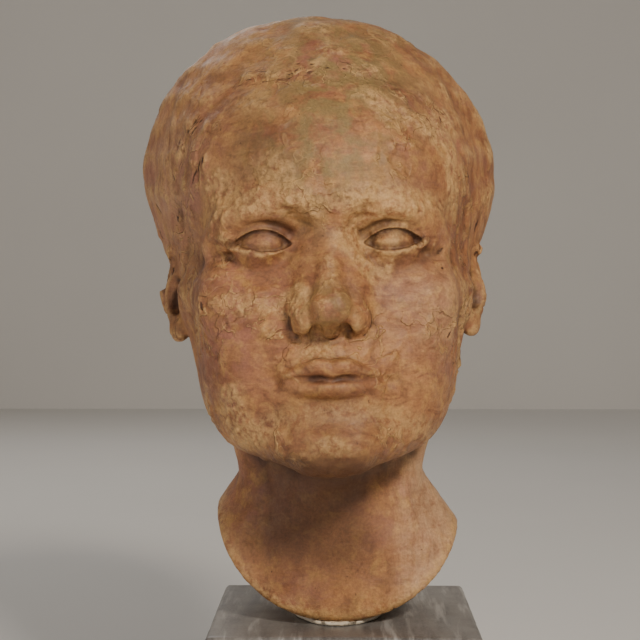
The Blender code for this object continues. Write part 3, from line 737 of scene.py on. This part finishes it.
def marble_finish(look):
    """Honed grey marble: soft slanting clouds drawn out along one bed, with faint pale streaks."""
    f = Finish("grey_marble")
    bed = (0.35, 0.30, 0.85)
    clouds = f.cloud(1.0, 5, 0.55, 0.35, f.stretched((0.012, 0.075, 0.030), bed))
    stone = f.mix(f.span(clouds, 0.34, 0.60), chip(90, 86, 84), picked(look.marble_colour))
    pale = f.cloud(1.0, 5, 0.6, 0.25, f.stretched((0.0055, 0.060, 0.018), bed))
    stone = f.mix(f.span(pale, 0.52, 0.70, 0, 0.75), stone, chip(180, 178, 174))
    dark = f.cloud(1.0, 5, 0.6, 0.3, f.stretched((0.007, 0.070, 0.022), (0.30, 0.36, 0.80)))
    stone = f.mix(f.span(dark, 0.56, 0.72, 0, 0.55), stone, chip(74, 71, 70))
    stone = f.mix(f.span(f.cloud(0.0014, 3, 0.6), 0.35, 0.7, 0, 0.14), stone, chip(190, 188, 184))
    f.set(Base_Color=stone, Roughness=f.span(f.cloud(0.02, 5, 0.6), 0.3, 0.7, 0.28, 0.42))
    f.set(Normal=f.bump(f.cloud(0.003, 5, 0.6), 0.06, 0.0004), IOR=1.5)
    return f.material


def plaster_finish(name, light, dull, grain_size):
    """White plaster, a little stained, with fine air holes."""
    f = Finish(name)
    body = f.mix(f.span(f.cloud(0.012, 4, 0.6), 0.35, 0.65), light, dull)
    holes = f.span(f.cloud(grain_size * 2, 2, 0.5), 0.64, 0.70)
    body = f.mix(f.times(holes, 0.6), body, chip(120, 100, 78))
    f.set(Base_Color=body, Roughness=f.span(f.cloud(0.006, 3), 0.3, 0.7, 0.78, 0.92))
    rough = f.bump(f.cloud(grain_size, 5, 0.65), 0.5, 0.0006)
    f.set(Normal=f.bump(holes, -0.6, 0.0006, rough))
    return f.material


def steel_finish():
    """Bright zinc plate, slightly clouded."""
    f = Finish("zinc_plate")
    body = f.mix(f.span(f.cloud(0.004, 4, 0.6), 0.35, 0.65), chip(176, 178, 180), chip(146, 149, 153))
    f.set(Base_Color=body, Metallic=1.0, Roughness=f.span(f.cloud(0.0025, 4), 0.3, 0.7, 0.26, 0.44))
    f.set(Normal=f.bump(f.cloud(0.0006, 3), 0.15, 0.0001))
    return f.material


def felt_finish(look):
    """Pressed wool: matted fibres with paler ones lying across."""
    f = Finish("wool_felt")
    fibres = f.cloud(1.0, 5, 0.7, 2.2, f.stretched((0.0006, 0.004, 0.0009), (0, 0, 0.6)))
    crossing = f.cloud(1.0, 5, 0.7, 2.2, f.stretched((0.004, 0.0006, 0.0009), (0, 0, 0.3)))
    mat = f.maths("MAXIMUM", fibres, crossing)
    body = f.mix(f.span(mat, 0.45, 0.72), picked(look.felt_colour), chip(70, 84, 68))
    f.set(Base_Color=body, Roughness=0.95, Sheen_Weight=0.35, Sheen_Roughness=0.5)
    f.set(Normal=f.bump(mat, 0.6, 0.0005))
    return f.material


def stage_finish(name, colour):
    f = Finish(name)
    f.set(Base_Color=f.mix(f.cloud(0.4, 3), colour, chip(226, 223, 218)), Roughness=0.9)
    return f.material


# ---------------------------------------------------------------- the head

def stand_in():
    """Lumps near the finished surface, which the remesh fuses into one skin."""
    bm = bmesh.new()
    to_clay = Matrix.Translation(EYE_LINE) @ Matrix(HEAD_TURN.tolist()).to_4x4()
    ear_turn = Matrix(EAR_TURN.tolist()).to_4x4()
    middle = [((0, 14, 46), (96, 100, 90)), ((0, 24, -6), (72, 64, 58)), ((0, -42, -34), (54, 50, 60)),
              ((0, -52, -78), (40, 44, 32)), ((0, -90, -14), (9, 9, 22)), ((0, -96, -36), (14, 15, 12)),
              ((0, -80, -72), (28, 20, 24)), ((0, -76, -98), (24, 18, 15)), ((0, 10, -50), (60, 60, 60))]
    for centre, radii in middle:
        ball(bm, to_clay, centre, radii)
    ear_lumps = [((1, 1, 3), (5, 15, 20)), ((1, -3, -16), (5, 9, 12)), ((-8, -2, -1), (10, 14, 20))]
    for side in (-1, 1):
        mirror = to_clay @ Matrix.Scale(side, 4, (1, 0, 0))
        ball(bm, mirror, (50, -40, -46), (18, 34, 40))
        ball(bm, mirror, (58, -30, -16), (16, 40, 14))
        plate = mirror @ Matrix.Translation(EAR_CENTRE) @ ear_turn
        for centre, radii in ear_lumps:
            ball(bm, plate, centre, radii)
    ball(bm, Matrix(), (-5, 9, 90), (52, 56, 70))
    ball(bm, Matrix(), (*CUT_CENTRE[:2], 50), (64, 56, 46))
    bmesh.ops.recalc_face_normals(bm, faces=bm.faces)
    return new_object("clay_head", bm)


def make_finer(mesh, wanted):
    """Halves the spacing of the points where wanted(points in the head's frame) is true."""
    keep = wanted((points_of(mesh) - EYE_LINE) @ HEAD_TURN)
    bm = bmesh.new()
    bm.from_mesh(mesh)
    edges = [e for e in bm.edges if keep[e.verts[0].index] and keep[e.verts[1].index]]
    bmesh.ops.subdivide_edges(bm, edges=edges, cuts=1, use_grid_fill=True)
    bm.to_mesh(mesh)
    bm.free()


def is_front(q):
    """Face, ears and the front of the neck and hair."""
    ears = (np.abs(np.abs(q[:, 0]) - 82) < 20) & (np.abs(q[:, 1] - 8) < 24) & (np.abs(q[:, 2] + 17) < 30)
    return ears | ((q[:, 1] < -44 - 0.1 * q[:, 2]) & (q[:, 2] < 84))


def is_feature(q):
    """Lids, nostrils and lips."""
    x = np.abs(q[:, 0])
    eyes = (np.abs(x - 31) < 19) & (q[:, 1] < -66) & (np.abs(q[:, 2]) < 13)
    nostrils = (x < 20) & (q[:, 1] < -84) & (q[:, 2] > -54) & (q[:, 2] < -30)
    lips = (x < 30) & (q[:, 1] < -80) & (np.abs(q[:, 2] + 69) < 10)
    return eyes | nostrils | lips


def sculpt(settings):
    head = stand_in()
    remesh(head, 4.0)
    settle(head.data, clay, 10, 4.0)
    remesh(head, settings.point_spacing * (1.0))
    settle(head.data, clay, 5, 2.0)
    make_finer(head.data, is_front)
    settle(head.data, clay, 5, 1.0)
    make_finer(head.data, is_feature)
    settle(head.data, clay, 5, 0.6)
    return head


def hollow_out(head):
    """The open hollow that a cast has: the skull's core and the flue down through the neck."""
    bm = bmesh.new()
    place = Matrix.Translation(EYE_LINE) @ Matrix(HEAD_TURN.tolist()).to_4x4()
    ball(bm, place, CORE_CENTRE, CORE_RADII)
    combine(head, new_object("core", bm))
    combine(head, spun("flue", [(0.0, FLUE[0][1])] + FLUE + [(0.0, FLUE[-1][1])], NECK_AXIS, 48))


# places where each tint, each painted shade and each painted light is thickest and how far it reaches, in
# the head's own frame
MAUVE = [((-50, -66, -34), 34), ((50, -64, -40), 20), ((-66, -40, 34), 26), ((-50, -20, -120), 30),
         ((44, -20, -125), 24), ((60, -50, 60), 20), ((10, -60, 96), 22), ((-84, 20, 40), 40),
         ((30, 70, 30), 40), ((-40, 84, 70), 34), ((0, 60, -60), 34)]
OLIVE = [((-6, -90, 40), 36), ((0, -104, -36), 13), ((10, -60, 90), 44), ((0, 10, 130), 50),
         ((40, 70, 60), 40), ((-20, 100, 20), 36)]
# painted shade: the chin's front, the clay above one brow and the crown are made darker
SHADE = [((0, -84, -96), 27), ((-34, -90, 50), 24), ((0, 0, 118), 46)]
# painted light: the cheek on the key lamp's side and the hair on the other side are made paler
LIT_SPOTS = [((52, -66, -34), 26), ((-86, -14, 40), 44)]


def paint(mesh, relief, outward):
    """Where the patina and the painted shade and light lie: wash and painted shade in hollows, ochre on
    ridges, the tinted veils, painted shade and painted light spots.
    """
    p = points_of(mesh)
    average = neighbours(mesh)
    q = (p - EYE_LINE) @ HEAD_TURN
    normal = np.empty(len(p) * 3, np.float32)
    mesh.vertex_normals.foreach_get("vector", normal)
    normal = normal.reshape(-1, 3).astype(float)
    hollow = np.zeros(len(p))
    far = p
    for passes, weight in ((3, 2.2), (9, 0.7), (22, 0.24)):
        for _ in range(passes):
            far = average(far)
        hollow += weight * ((far - p) * normal).sum(axis=1)
    hollow = average(hollow)
    # how much clay stands round each point, near to it and further off
    shut_in = [1.0 - clay(p + outward * reach) / reach for reach in (4.0, 13.0)]
    # painted shade: darker where the clay round a point shuts it in
    shut_in_shade = 0.50 * step(shut_in[0], 0.20, 0.70) + 0.34 * step(shut_in[1], 0.40, 1.0)
    # painted shadow under the chin, down the front of the neck left of its middle, fading out towards the
    # rim
    throat_shadow = 0.9 * relief["neck"] * step(-q[:, 1], -10.0, 30.0)
    throat_shadow *= 1.0 - step(np.abs(p[:, 0] + 18.0), 16.0, 50.0)
    throat_shadow *= step(p[:, 2], 8.0, 44.0)
    # painted light: the neck's flank on the key lamp's side is made paler
    lit_flank = 0.75 * relief["neck"] * step(p[:, 0], 18.0, 42.0)
    rim = np.abs(lump(p, CUT_CENTRE, CUT_RADII))
    proud = step(-hollow, 0.30, 1.7) * 0.8 * (1.0 - 0.8 * relief["neck"])
    masks = {
        "wash_and_shade": np.clip(step(hollow, 0.4, 2.2) * 0.6 + shut_in_shade + wash_and_shadow_spots(q), 0.0, 0.88),
        "slit": relief["slit"],
        "worked": relief["worked"],
        "edge_away": relief["edge_away"],
        "edge_along": relief["edge_along"],
        "ridge": np.clip(proud + 0.7 * relief["torn"] + 0.6 * (1.0 - step(rim, 1.5, 9.0)), 0.0, 0.95),
        "mauve": veil(q, MAUVE),
        "olive": veil(q, OLIVE),
        "shade": np.clip(throat_shadow + 0.5 * veil(q, SHADE), 0.0, 0.8),
        "pale": np.clip(lit_flank + 0.45 * veil(q, LIT_SPOTS), 0.0, 0.8),
        "upright": relief["upright"],
    }
    for name, values in masks.items():
        layer = mesh.attributes.new(name, "FLOAT", "POINT")
        layer.data.foreach_set("value", values.astype(np.float32))


def veil(q, spots):
    """How strongly a tint lies at each point, from the places where it is thickest."""
    total = np.zeros(len(q))
    for centre, reach in spots:
        total += np.exp(-(((q - np.asarray(centre, float)) ** 2).sum(axis=1)) / (reach * reach))
    return np.clip(total, 0.0, 1.0) * 0.9


def wash_and_shadow_spots(q):
    """Extra darkening: painted shadow under the chin, and wash with painted shade in the ears and under the
    hair's edge.
    """
    x = np.abs(q[:, 0])
    chin = np.exp(-((x / 34) ** 2 + ((q[:, 1] + 52) / 22) ** 2 + ((q[:, 2] + 112) / 12) ** 2))
    bowl = np.exp(-(((x - 83) / 5) ** 2 + ((q[:, 1] - 5) / 6) ** 2 + ((q[:, 2] + 20) / 8) ** 2))
    behind = np.exp(-(((x - 74) / 7) ** 2 + ((q[:, 1] - 24) / 7) ** 2 + ((q[:, 2] + 20) / 18) ** 2))
    return 0.55 * chin + 0.6 * bowl + 0.5 * behind


def make_head(settings):
    head = sculpt(settings)
    mesh = head.data
    p = points_of(mesh)
    _, _, normal = slope_of(clay, p)
    height, relief = skin(p, settings.relief)
    place_points(mesh, p + normal * height[:, None])
    paint(mesh, relief, normal)
    hollow_out(head)
    mesh = head.data
    mesh.transform(Matrix.Translation((0, 0, BLOCK_TOP)) @ Matrix.Scale(MM, 4))
    mesh.shade_smooth()
    finish_piece(head, clay_finish(settings), "clay", "head")


# ---------------------------------------------------------------- the mount

BEAD_HOLE = 0.0054             # radius of the hole for the rod through the plaster
BEAD_STRETCH = 1.85            # the bead's stand-in is that much longer than wide


def bead_form(size, seed):
    """Squeezed-out plaster: a flat oval pat, thumbed round its edge, under the neck's bowl."""
    half = np.array(size) * 0.5

    def form(p):
        wave = 0.8 * smooth(p, 9.0, seed) + 0.4 * smooth(p, 3.5, seed + 5.0)
        off = p[:, :2] - (NECK_AXIS[0], CUT_CENTRE[1])
        d = (np.hypot(off[:, 0] / half[0], off[:, 1] / half[1]) - 1.0) * half[0] - wave
        d = trim(d, p[:, 2] - half[2] - 0.004 * off[:, 0] ** 2 - 0.5 * wave, 1.6)
        d = trim(d, 0.3 - p[:, 2], 0.3)
        d = press(d, np.maximum(neck_form(p), CUT_FLAT - p[:, 2]) - 0.25, 0.4)
        hole = np.hypot(p[:, 0] - NECK_AXIS[0], p[:, 1] - NECK_AXIS[1])
        return np.maximum(d, BEAD_HOLE / MM - hole)

    return form


def make_bed(settings):
    """Bead of plaster between the neck and the block."""
    bed = spun("bed", [(5.6, 0.4), (24.0, 0.4), (25.0, 1.4), (24.0, 2.6), (5.6, 1.6)], (0.0, 0.0), 48)
    bed.name = "plaster_bead"
    stretch = Matrix.Diagonal((1.0, BEAD_STRETCH, 1.0, 1.0))
    bed.data.transform(Matrix.Translation((NECK_AXIS[0], CUT_CENTRE[1], 0)) @ stretch)
    remesh(bed, 0.75)
    half_width = (BED_HIGH[0] - BED_LOW[0]) / MM
    half_length = (BED_HIGH[1] - BED_LOW[1]) / MM
    settle(bed.data, bead_form((half_width + 0.3, half_length + 1.6, settings.bead_height), 4.2), 8, 1.5)
    bed.data.transform(Matrix.Translation((0, 0, BLOCK_TOP)) @ Matrix.Scale(MM, 4))
    bed.data.shade_smooth()
    finish = plaster_finish("bedding_plaster", chip(226, 216, 197), chip(206, 192, 168), 0.0011)
    finish_piece(bed, finish, "bedding_plaster", "bedding_collar")


def make_block(settings):
    """Marble block with softened, slightly worn edges, bored and recessed from below."""
    size = BLOCK_HIGH - BLOCK_LOW
    middle = (BLOCK_HIGH + BLOCK_LOW) / 2
    bm = bmesh.new()
    form = Matrix.Translation(middle) @ Matrix.Diagonal((*size, 1.0))
    bmesh.ops.create_cube(bm, size=1.0, matrix=form)
    bmesh.ops.bevel(bm, geom=bm.edges[:], offset=settings.edge_radius, affect="EDGES", segments=5,
                    profile=0.5, material=-1)
    spacing = 0.0032
    for axis in range(3):
        low, high = BLOCK_LOW[axis] + settings.edge_radius, BLOCK_HIGH[axis] - settings.edge_radius
        slice_up(bm, axis, np.linspace(low, high, int((high - low) / spacing))[1:-1])
    block = new_object("marble_block_honed", bm)
    wear(block.data, settings)
    shoulder, recess, bore = bore_sizes()
    below, above = BLOCK_LOW[2] - OVERSHOOT, BLOCK_TOP + OVERSHOOT
    profile = [(0.0, below), (recess, below), (recess, shoulder),
               (bore, shoulder), (bore, above), (0.0, above)]
    combine(block, spun("bore", profile, ROD_AT))
    block.data.shade_smooth()
    block.data.set_sharp_from_angle(angle=math.radians(40))
    finish_piece(block, marble_finish(settings), "marble", "marble_block")


def bore_sizes():
    """Shoulder height, recess radius and bore radius under the block, round the clamp's parts."""
    washer_low, washer_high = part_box("base_washer")
    recess = (washer_high[0] - washer_low[0]) / 2 + RECESS_CLEARANCE
    return washer_high[2] + GAP, recess, ROD_RADIUS + BORE_CLEARANCE


def wear(mesh, settings):
    """Rubs the block's edges unevenly and takes a few small chips out of them."""
    p = points_of(mesh)
    middle = (np.array(BLOCK_LOW) + np.array(BLOCK_HIGH)) / 2
    half = (np.array(BLOCK_HIGH) - np.array(BLOCK_LOW)) / 2
    from_side = half - np.abs(p - middle)
    order = np.sort(from_side, axis=1)
    on_edge = 1.0 - step(order[:, 1], 0.0, 0.004)
    inward = (middle - p) / np.linalg.norm(middle - p, axis=1, keepdims=True)
    rub = 0.35 + 0.5 * smooth(p, 0.014, 5.0) + 0.3 * smooth(p, 0.005, 9.0)
    chips = step(smooth(p, 0.0075, 13.0), 0.42, 0.62) * 2.2
    depth = settings.edge_wear * on_edge * np.clip(rub + chips, 0.0, None)
    place_points(mesh, p + inward * depth[:, None])


def make_felt(settings):
    """Felt cut a little inside the block, with its corners rounded and its cut edge soft."""
    low, high = Vector(FELT_LOW), Vector(FELT_HIGH)
    bm = bmesh.new()
    form = Matrix.Translation((low + high) / 2) @ Matrix.Diagonal((*(high - low), 1.0))
    bmesh.ops.create_cube(bm, size=1.0, matrix=form)
    corners = [e for e in bm.edges if abs(e.verts[0].co.z - e.verts[1].co.z) > 1e-5]
    bmesh.ops.bevel(bm, geom=corners, offset=0.004, affect="EDGES", segments=6, profile=0.5, material=-1)
    rims = [e for e in bm.edges if abs(e.verts[0].co.z - e.verts[1].co.z) < 1e-6]
    bmesh.ops.bevel(bm, geom=rims, offset=0.0006, affect="EDGES", segments=3, profile=0.5, material=-1)
    finish_piece(new_object("felt_base", bm), felt_finish(settings), "felt", "felt_sheet")


def make_thread(pitch):
    """Threaded rod: a fine turned bar whose radius follows the thread's helix."""
    radius = ROD_RADIUS
    rows = int((ROD_HIGH[2] - ROD_LOW[2]) / (pitch / 5))
    chamfer = radius * 0.18
    profile = [(0.0, ROD_LOW[2]), (radius - chamfer, ROD_LOW[2])]
    profile += [(radius, z) for z in np.linspace(ROD_LOW[2] + chamfer, ROD_HIGH[2] - chamfer, rows)]
    profile += [(radius - chamfer, ROD_HIGH[2]), (0.0, ROD_HIGH[2])]
    rod = spun("threaded_rod", profile, ROD_AT, 30)
    p = points_of(rod.data)
    off = p[:, :2] - np.array(ROD_AT[:2])
    away = np.hypot(off[:, 0], off[:, 1])
    phase = p[:, 2] / pitch - np.arctan2(off[:, 1], off[:, 0]) / (2 * math.pi)
    groove = np.abs((phase % 1.0) - 0.5) * 2.0
    depth = 0.55 * pitch * np.clip(1.25 * groove - 0.12, 0.0, 1.0) * (away > radius * 0.95)
    share = 1.0 - depth / np.maximum(away, 1e-6)
    p[:, :2] = np.array(ROD_AT[:2]) + off * share[:, None]
    place_points(rod.data, p)
    return rod


def make_nut(name, node):
    """Hexagon nut with turned corners."""
    low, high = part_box(node)
    corner = (high[1] - low[1]) / 2
    flat = corner * math.cos(math.pi / 6)
    height = high[2] - low[2]
    bm = bmesh.new()
    form = Matrix.Translation((*ROD_AT[:2], (low[2] + high[2]) / 2))
    bmesh.ops.create_cone(bm, cap_ends=True, segments=6, radius1=corner, radius2=corner, depth=height,
                          matrix=form)
    nut = new_object(name, bm)
    lip = (corner - flat) * math.tan(math.radians(30)) + GAP
    turned = [(0.0, low[2]), (flat, low[2]), (corner, low[2] + lip), (corner, high[2] - lip),
              (flat, high[2]), (0.0, high[2])]
    combine(nut, spun("turned", turned, ROD_AT), "INTERSECT")
    hole = ROD_RADIUS + GAP
    sink = 0.0007
    wide, below, above = hole + sink + OVERSHOOT, low[2] - OVERSHOOT, high[2] + OVERSHOOT
    bore = [(0.0, below), (wide, below), (hole, low[2] + sink),
            (hole, high[2] - sink), (wide, above), (0.0, above)]
    combine(nut, spun("hole", bore, ROD_AT))
    return nut


def make_washer(name, node):
    """Flat washer with one stamped, rounded edge."""
    low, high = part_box(node)
    outer = (high[0] - low[0]) / 2
    inner = ROD_RADIUS + GAP
    soft = 0.0004
    ring = [(inner, low[2]), (outer - 0.0001, low[2]), (outer, low[2] + 0.0001), (outer, high[2] - soft),
            (outer - soft * 0.3, high[2] - soft * 0.3), (outer - soft, high[2]), (inner + soft, high[2]),
            (inner, high[2] - soft)]
    return spun(name, ring, ROD_AT)


def make_clamp(settings):
    """Threaded rod, nuts and washers that draw the head down onto the block, and the neck's plaster."""
    steel = steel_finish()
    finish_piece(make_thread(settings.thread_pitch), steel, "zinc_steel", "tie_rod")
    for node in ("anchor_nut", "base_nut"):
        finish_piece(make_nut(node + "_turned", node), steel, "zinc_steel", node)
    for node in ("anchor_washer", "base_washer"):
        finish_piece(make_washer(node + "_stamped", node), steel, "zinc_steel", node)
    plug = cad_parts["neck_plug"]
    plug.data.materials.clear()
    plaster = plaster_finish("casting_plaster", chip(214, 208, 196), chip(196, 188, 172), 0.002)
    plug.data.materials.append(plaster)


# ---------------------------------------------------------------- the stage

SHEET_HALF = 6.0               # half the floor's and the backdrop's width
BACKDROP_BEHIND = 2.6
AIM_HEIGHT = 0.19              # above the block's top, where the lamps point


def make_stage(settings):
    """Pale floor and backdrop, soft lights, and the camera at eye level with the sculpture."""
    floor_bm = bmesh.new()
    bmesh.ops.create_grid(floor_bm, x_segments=1, y_segments=1, size=SHEET_HALF)
    floor = new_object("floor", floor_bm)
    wall_bm = bmesh.new()
    wall_place = Matrix.Translation((0, BACKDROP_BEHIND, 0)) @ Matrix.Rotation(math.pi / 2, 4, "X")
    bmesh.ops.create_grid(wall_bm, x_segments=1, y_segments=1, size=SHEET_HALF, matrix=wall_place)
    wall = new_object("backdrop", wall_bm)
    paper = stage_finish("pale_paper", chip(233, 230, 225))
    for sheet in (floor, wall):
        sheet.data.materials.append(paper)

    world = bpy.data.worlds.new("studio")
    bpy.context.scene.world = world
    world.use_nodes = True
    world.node_tree.nodes["Background"].inputs["Color"].default_value = (1.0, 0.97, 0.93, 1.0)
    world.node_tree.nodes["Background"].inputs["Strength"].default_value = settings.fill
    aim = Vector((0.0, 0.0, BLOCK_TOP + AIM_HEIGHT))
    for name, place, power, size, tint in LIGHTS:
        lamp = bpy.data.lights.new(name, "AREA")
        lamp.energy = power * settings.light
        lamp.size = size
        lamp.color = tint
        body = bpy.data.objects.new(name, lamp)
        body.location = place
        body.rotation_euler = (aim - Vector(place)).to_track_quat("-Z", "Y").to_euler()
        bpy.context.scene.collection.objects.link(body)

    camera = bpy.data.cameras.new("camera")
    camera.sensor_width = 36.0
    camera.lens = settings.lens
    body = bpy.data.objects.new("camera", camera)
    body.location = (0.0, -settings.distance, BLOCK_TOP + settings.height)
    way = Vector((-math.sin(settings.swing), math.cos(settings.swing), -math.tan(settings.dip)))
    body.rotation_euler = way.to_track_quat("-Z", "Y").to_euler()
    bpy.context.scene.collection.objects.link(body)
    bpy.context.scene.camera = body


# name, place, watts, size and tint of each lamp
LIGHTS = [
    ("key", (0.62, -1.40, 1.20), 26.0, 0.28, (1.0, 0.90, 0.78)),
    ("fill", (-1.4, -1.0, 0.70), 7.0, 1.0, (1.0, 0.92, 0.86)),
    ("back", (-0.6, 1.6, 1.5), 8.0, 1.0, (1.0, 0.98, 0.96)),
]


# ---------------------------------------------------------------- the add-on

class HeadSettings(bpy.types.PropertyGroup):
    """Sizes and colours of the clay head."""

    point_spacing: FloatProperty(name="Point spacing", default=2.6, min=1.0, max=8.0,
                                 description="Millimetres between points before the face is made finer")
    relief: FloatProperty(name="Relief", default=1.0, min=0.0, max=2.0,
                          description="How strongly pats, planes and pits show in the clay")
    ridge_colour: FloatVectorProperty(name="Ridges", default=shown(206, 164, 108), min=0.0, max=1.0,
                                      subtype="COLOR_GAMMA", description="Colour of the rubbed ridges")
    wash_and_shade_colour: FloatVectorProperty(name="Wash", default=shown(66, 38, 24), min=0.0, max=1.0,
                                     subtype="COLOR_GAMMA", description="Colour of the wash in the hollows")


class MountSettings(bpy.types.PropertyGroup):
    """Sizes and colours of the plaster, block, felt and clamp."""

    bead_height: FloatProperty(name="Bead height", default=5.2, min=3.0, max=9.0,
                               description="Twice the plaster bead's height at its ends in millimetres")
    edge_radius: FloatProperty(name="Edge radius", default=0.0026, unit="LENGTH",
                               description="Radius of the block's softened edges")
    edge_wear: FloatProperty(name="Edge wear", default=0.0006, unit="LENGTH",
                             description="Depth of the rubbing along the block's edges")
    thread_pitch: FloatProperty(name="Thread pitch", default=0.0015, unit="LENGTH",
                                description="Pitch of the rod's thread")
    marble_colour: FloatVectorProperty(name="Marble", default=shown(120, 116, 112), min=0.0, max=1.0,
                                       subtype="COLOR_GAMMA", description="The marble's middle grey")
    felt_colour: FloatVectorProperty(name="Felt", default=shown(34, 42, 33), min=0.0, max=1.0,
                                     subtype="COLOR_GAMMA", description="Colour of the felt")


class StageSettings(bpy.types.PropertyGroup):
    """Camera and light."""

    lens: FloatProperty(name="Lens", default=86.0, unit="CAMERA", description="Focal length in millimetres")
    distance: FloatProperty(name="Distance", default=0.8315, unit="LENGTH",
                            description="Camera in front of the block's middle")
    height: FloatProperty(name="Height", default=0.1738, unit="LENGTH",
                          description="Camera above the block's top")
    dip: FloatProperty(name="Dip", default=math.radians(1.1), unit="ROTATION",
                       description="How far the camera looks down")
    swing: FloatProperty(name="Swing", default=math.radians(0.9), unit="ROTATION",
                         description="How far the camera looks to the left")
    light: FloatProperty(name="Light", default=1.0, description="Strength of all the lamps")
    fill: FloatProperty(name="Fill", default=0.17, description="Strength of the light from all round")


class BUST_OT_head(bpy.types.Operator):
    """Sculpts the clay head, hollows it and lays its patina."""

    bl_idname = "bust.head"
    bl_label = "Clay head"

    def execute(self, context):
        make_head(context.scene.bust_head)
        return {"FINISHED"}


class BUST_OT_bed(bpy.types.Operator):
    """Squeezes out the plaster bead between the neck and the block."""

    bl_idname = "bust.bed"
    bl_label = "Plaster bead"

    def execute(self, context):
        make_bed(context.scene.bust_mount)
        return {"FINISHED"}


class BUST_OT_block(bpy.types.Operator):
    """Cuts, bores and wears the marble block."""

    bl_idname = "bust.block"
    bl_label = "Marble block"

    def execute(self, context):
        make_block(context.scene.bust_mount)
        return {"FINISHED"}


class BUST_OT_clamp(bpy.types.Operator):
    """Makes the threaded rod with its nuts and washers, and finishes the neck's plaster."""

    bl_idname = "bust.clamp"
    bl_label = "Clamp"

    def execute(self, context):
        make_clamp(context.scene.bust_mount)
        return {"FINISHED"}


class BUST_OT_felt(bpy.types.Operator):
    """Cuts the felt under the block."""

    bl_idname = "bust.felt"
    bl_label = "Felt"

    def execute(self, context):
        make_felt(context.scene.bust_mount)
        return {"FINISHED"}


class BUST_OT_stage(bpy.types.Operator):
    """Sets the floor, the lights and the camera."""

    bl_idname = "bust.stage"
    bl_label = "Stage"

    def execute(self, context):
        make_stage(context.scene.bust_stage)
        return {"FINISHED"}


OPERATORS = (BUST_OT_head, BUST_OT_bed, BUST_OT_block, BUST_OT_clamp, BUST_OT_felt, BUST_OT_stage)


class BUST_PT_panel(bpy.types.Panel):
    """The bust's pieces and their settings."""

    bl_idname = "BUST_PT_panel"
    bl_label = "Clay head on a block"
    bl_space_type = "VIEW_3D"
    bl_region_type = "UI"
    bl_category = "Bust"

    def draw(self, context):
        for operator in OPERATORS:
            self.layout.operator(operator.bl_idname)
        for group in (context.scene.bust_head, context.scene.bust_mount, context.scene.bust_stage):
            box = self.layout.box()
            for name in group.__annotations__:
                box.prop(group, name)


GROUPS = {"bust_head": HeadSettings, "bust_mount": MountSettings, "bust_stage": StageSettings}


def register():
    for cls in (*GROUPS.values(), *OPERATORS, BUST_PT_panel):
        bpy.utils.register_class(cls)
    for name, group in GROUPS.items():
        setattr(bpy.types.Scene, name, PointerProperty(type=group))


def unregister():
    for name in GROUPS:
        delattr(bpy.types.Scene, name)
    for cls in reversed((*GROUPS.values(), *OPERATORS, BUST_PT_panel)):
        bpy.utils.unregister_class(cls)


def main():
    register()
    bpy.ops.bust.head()
    bpy.ops.bust.bed()
    bpy.ops.bust.block()
    bpy.ops.bust.clamp()
    bpy.ops.bust.felt()
    bpy.ops.bust.stage()


if __name__ == "__main__":
    main()
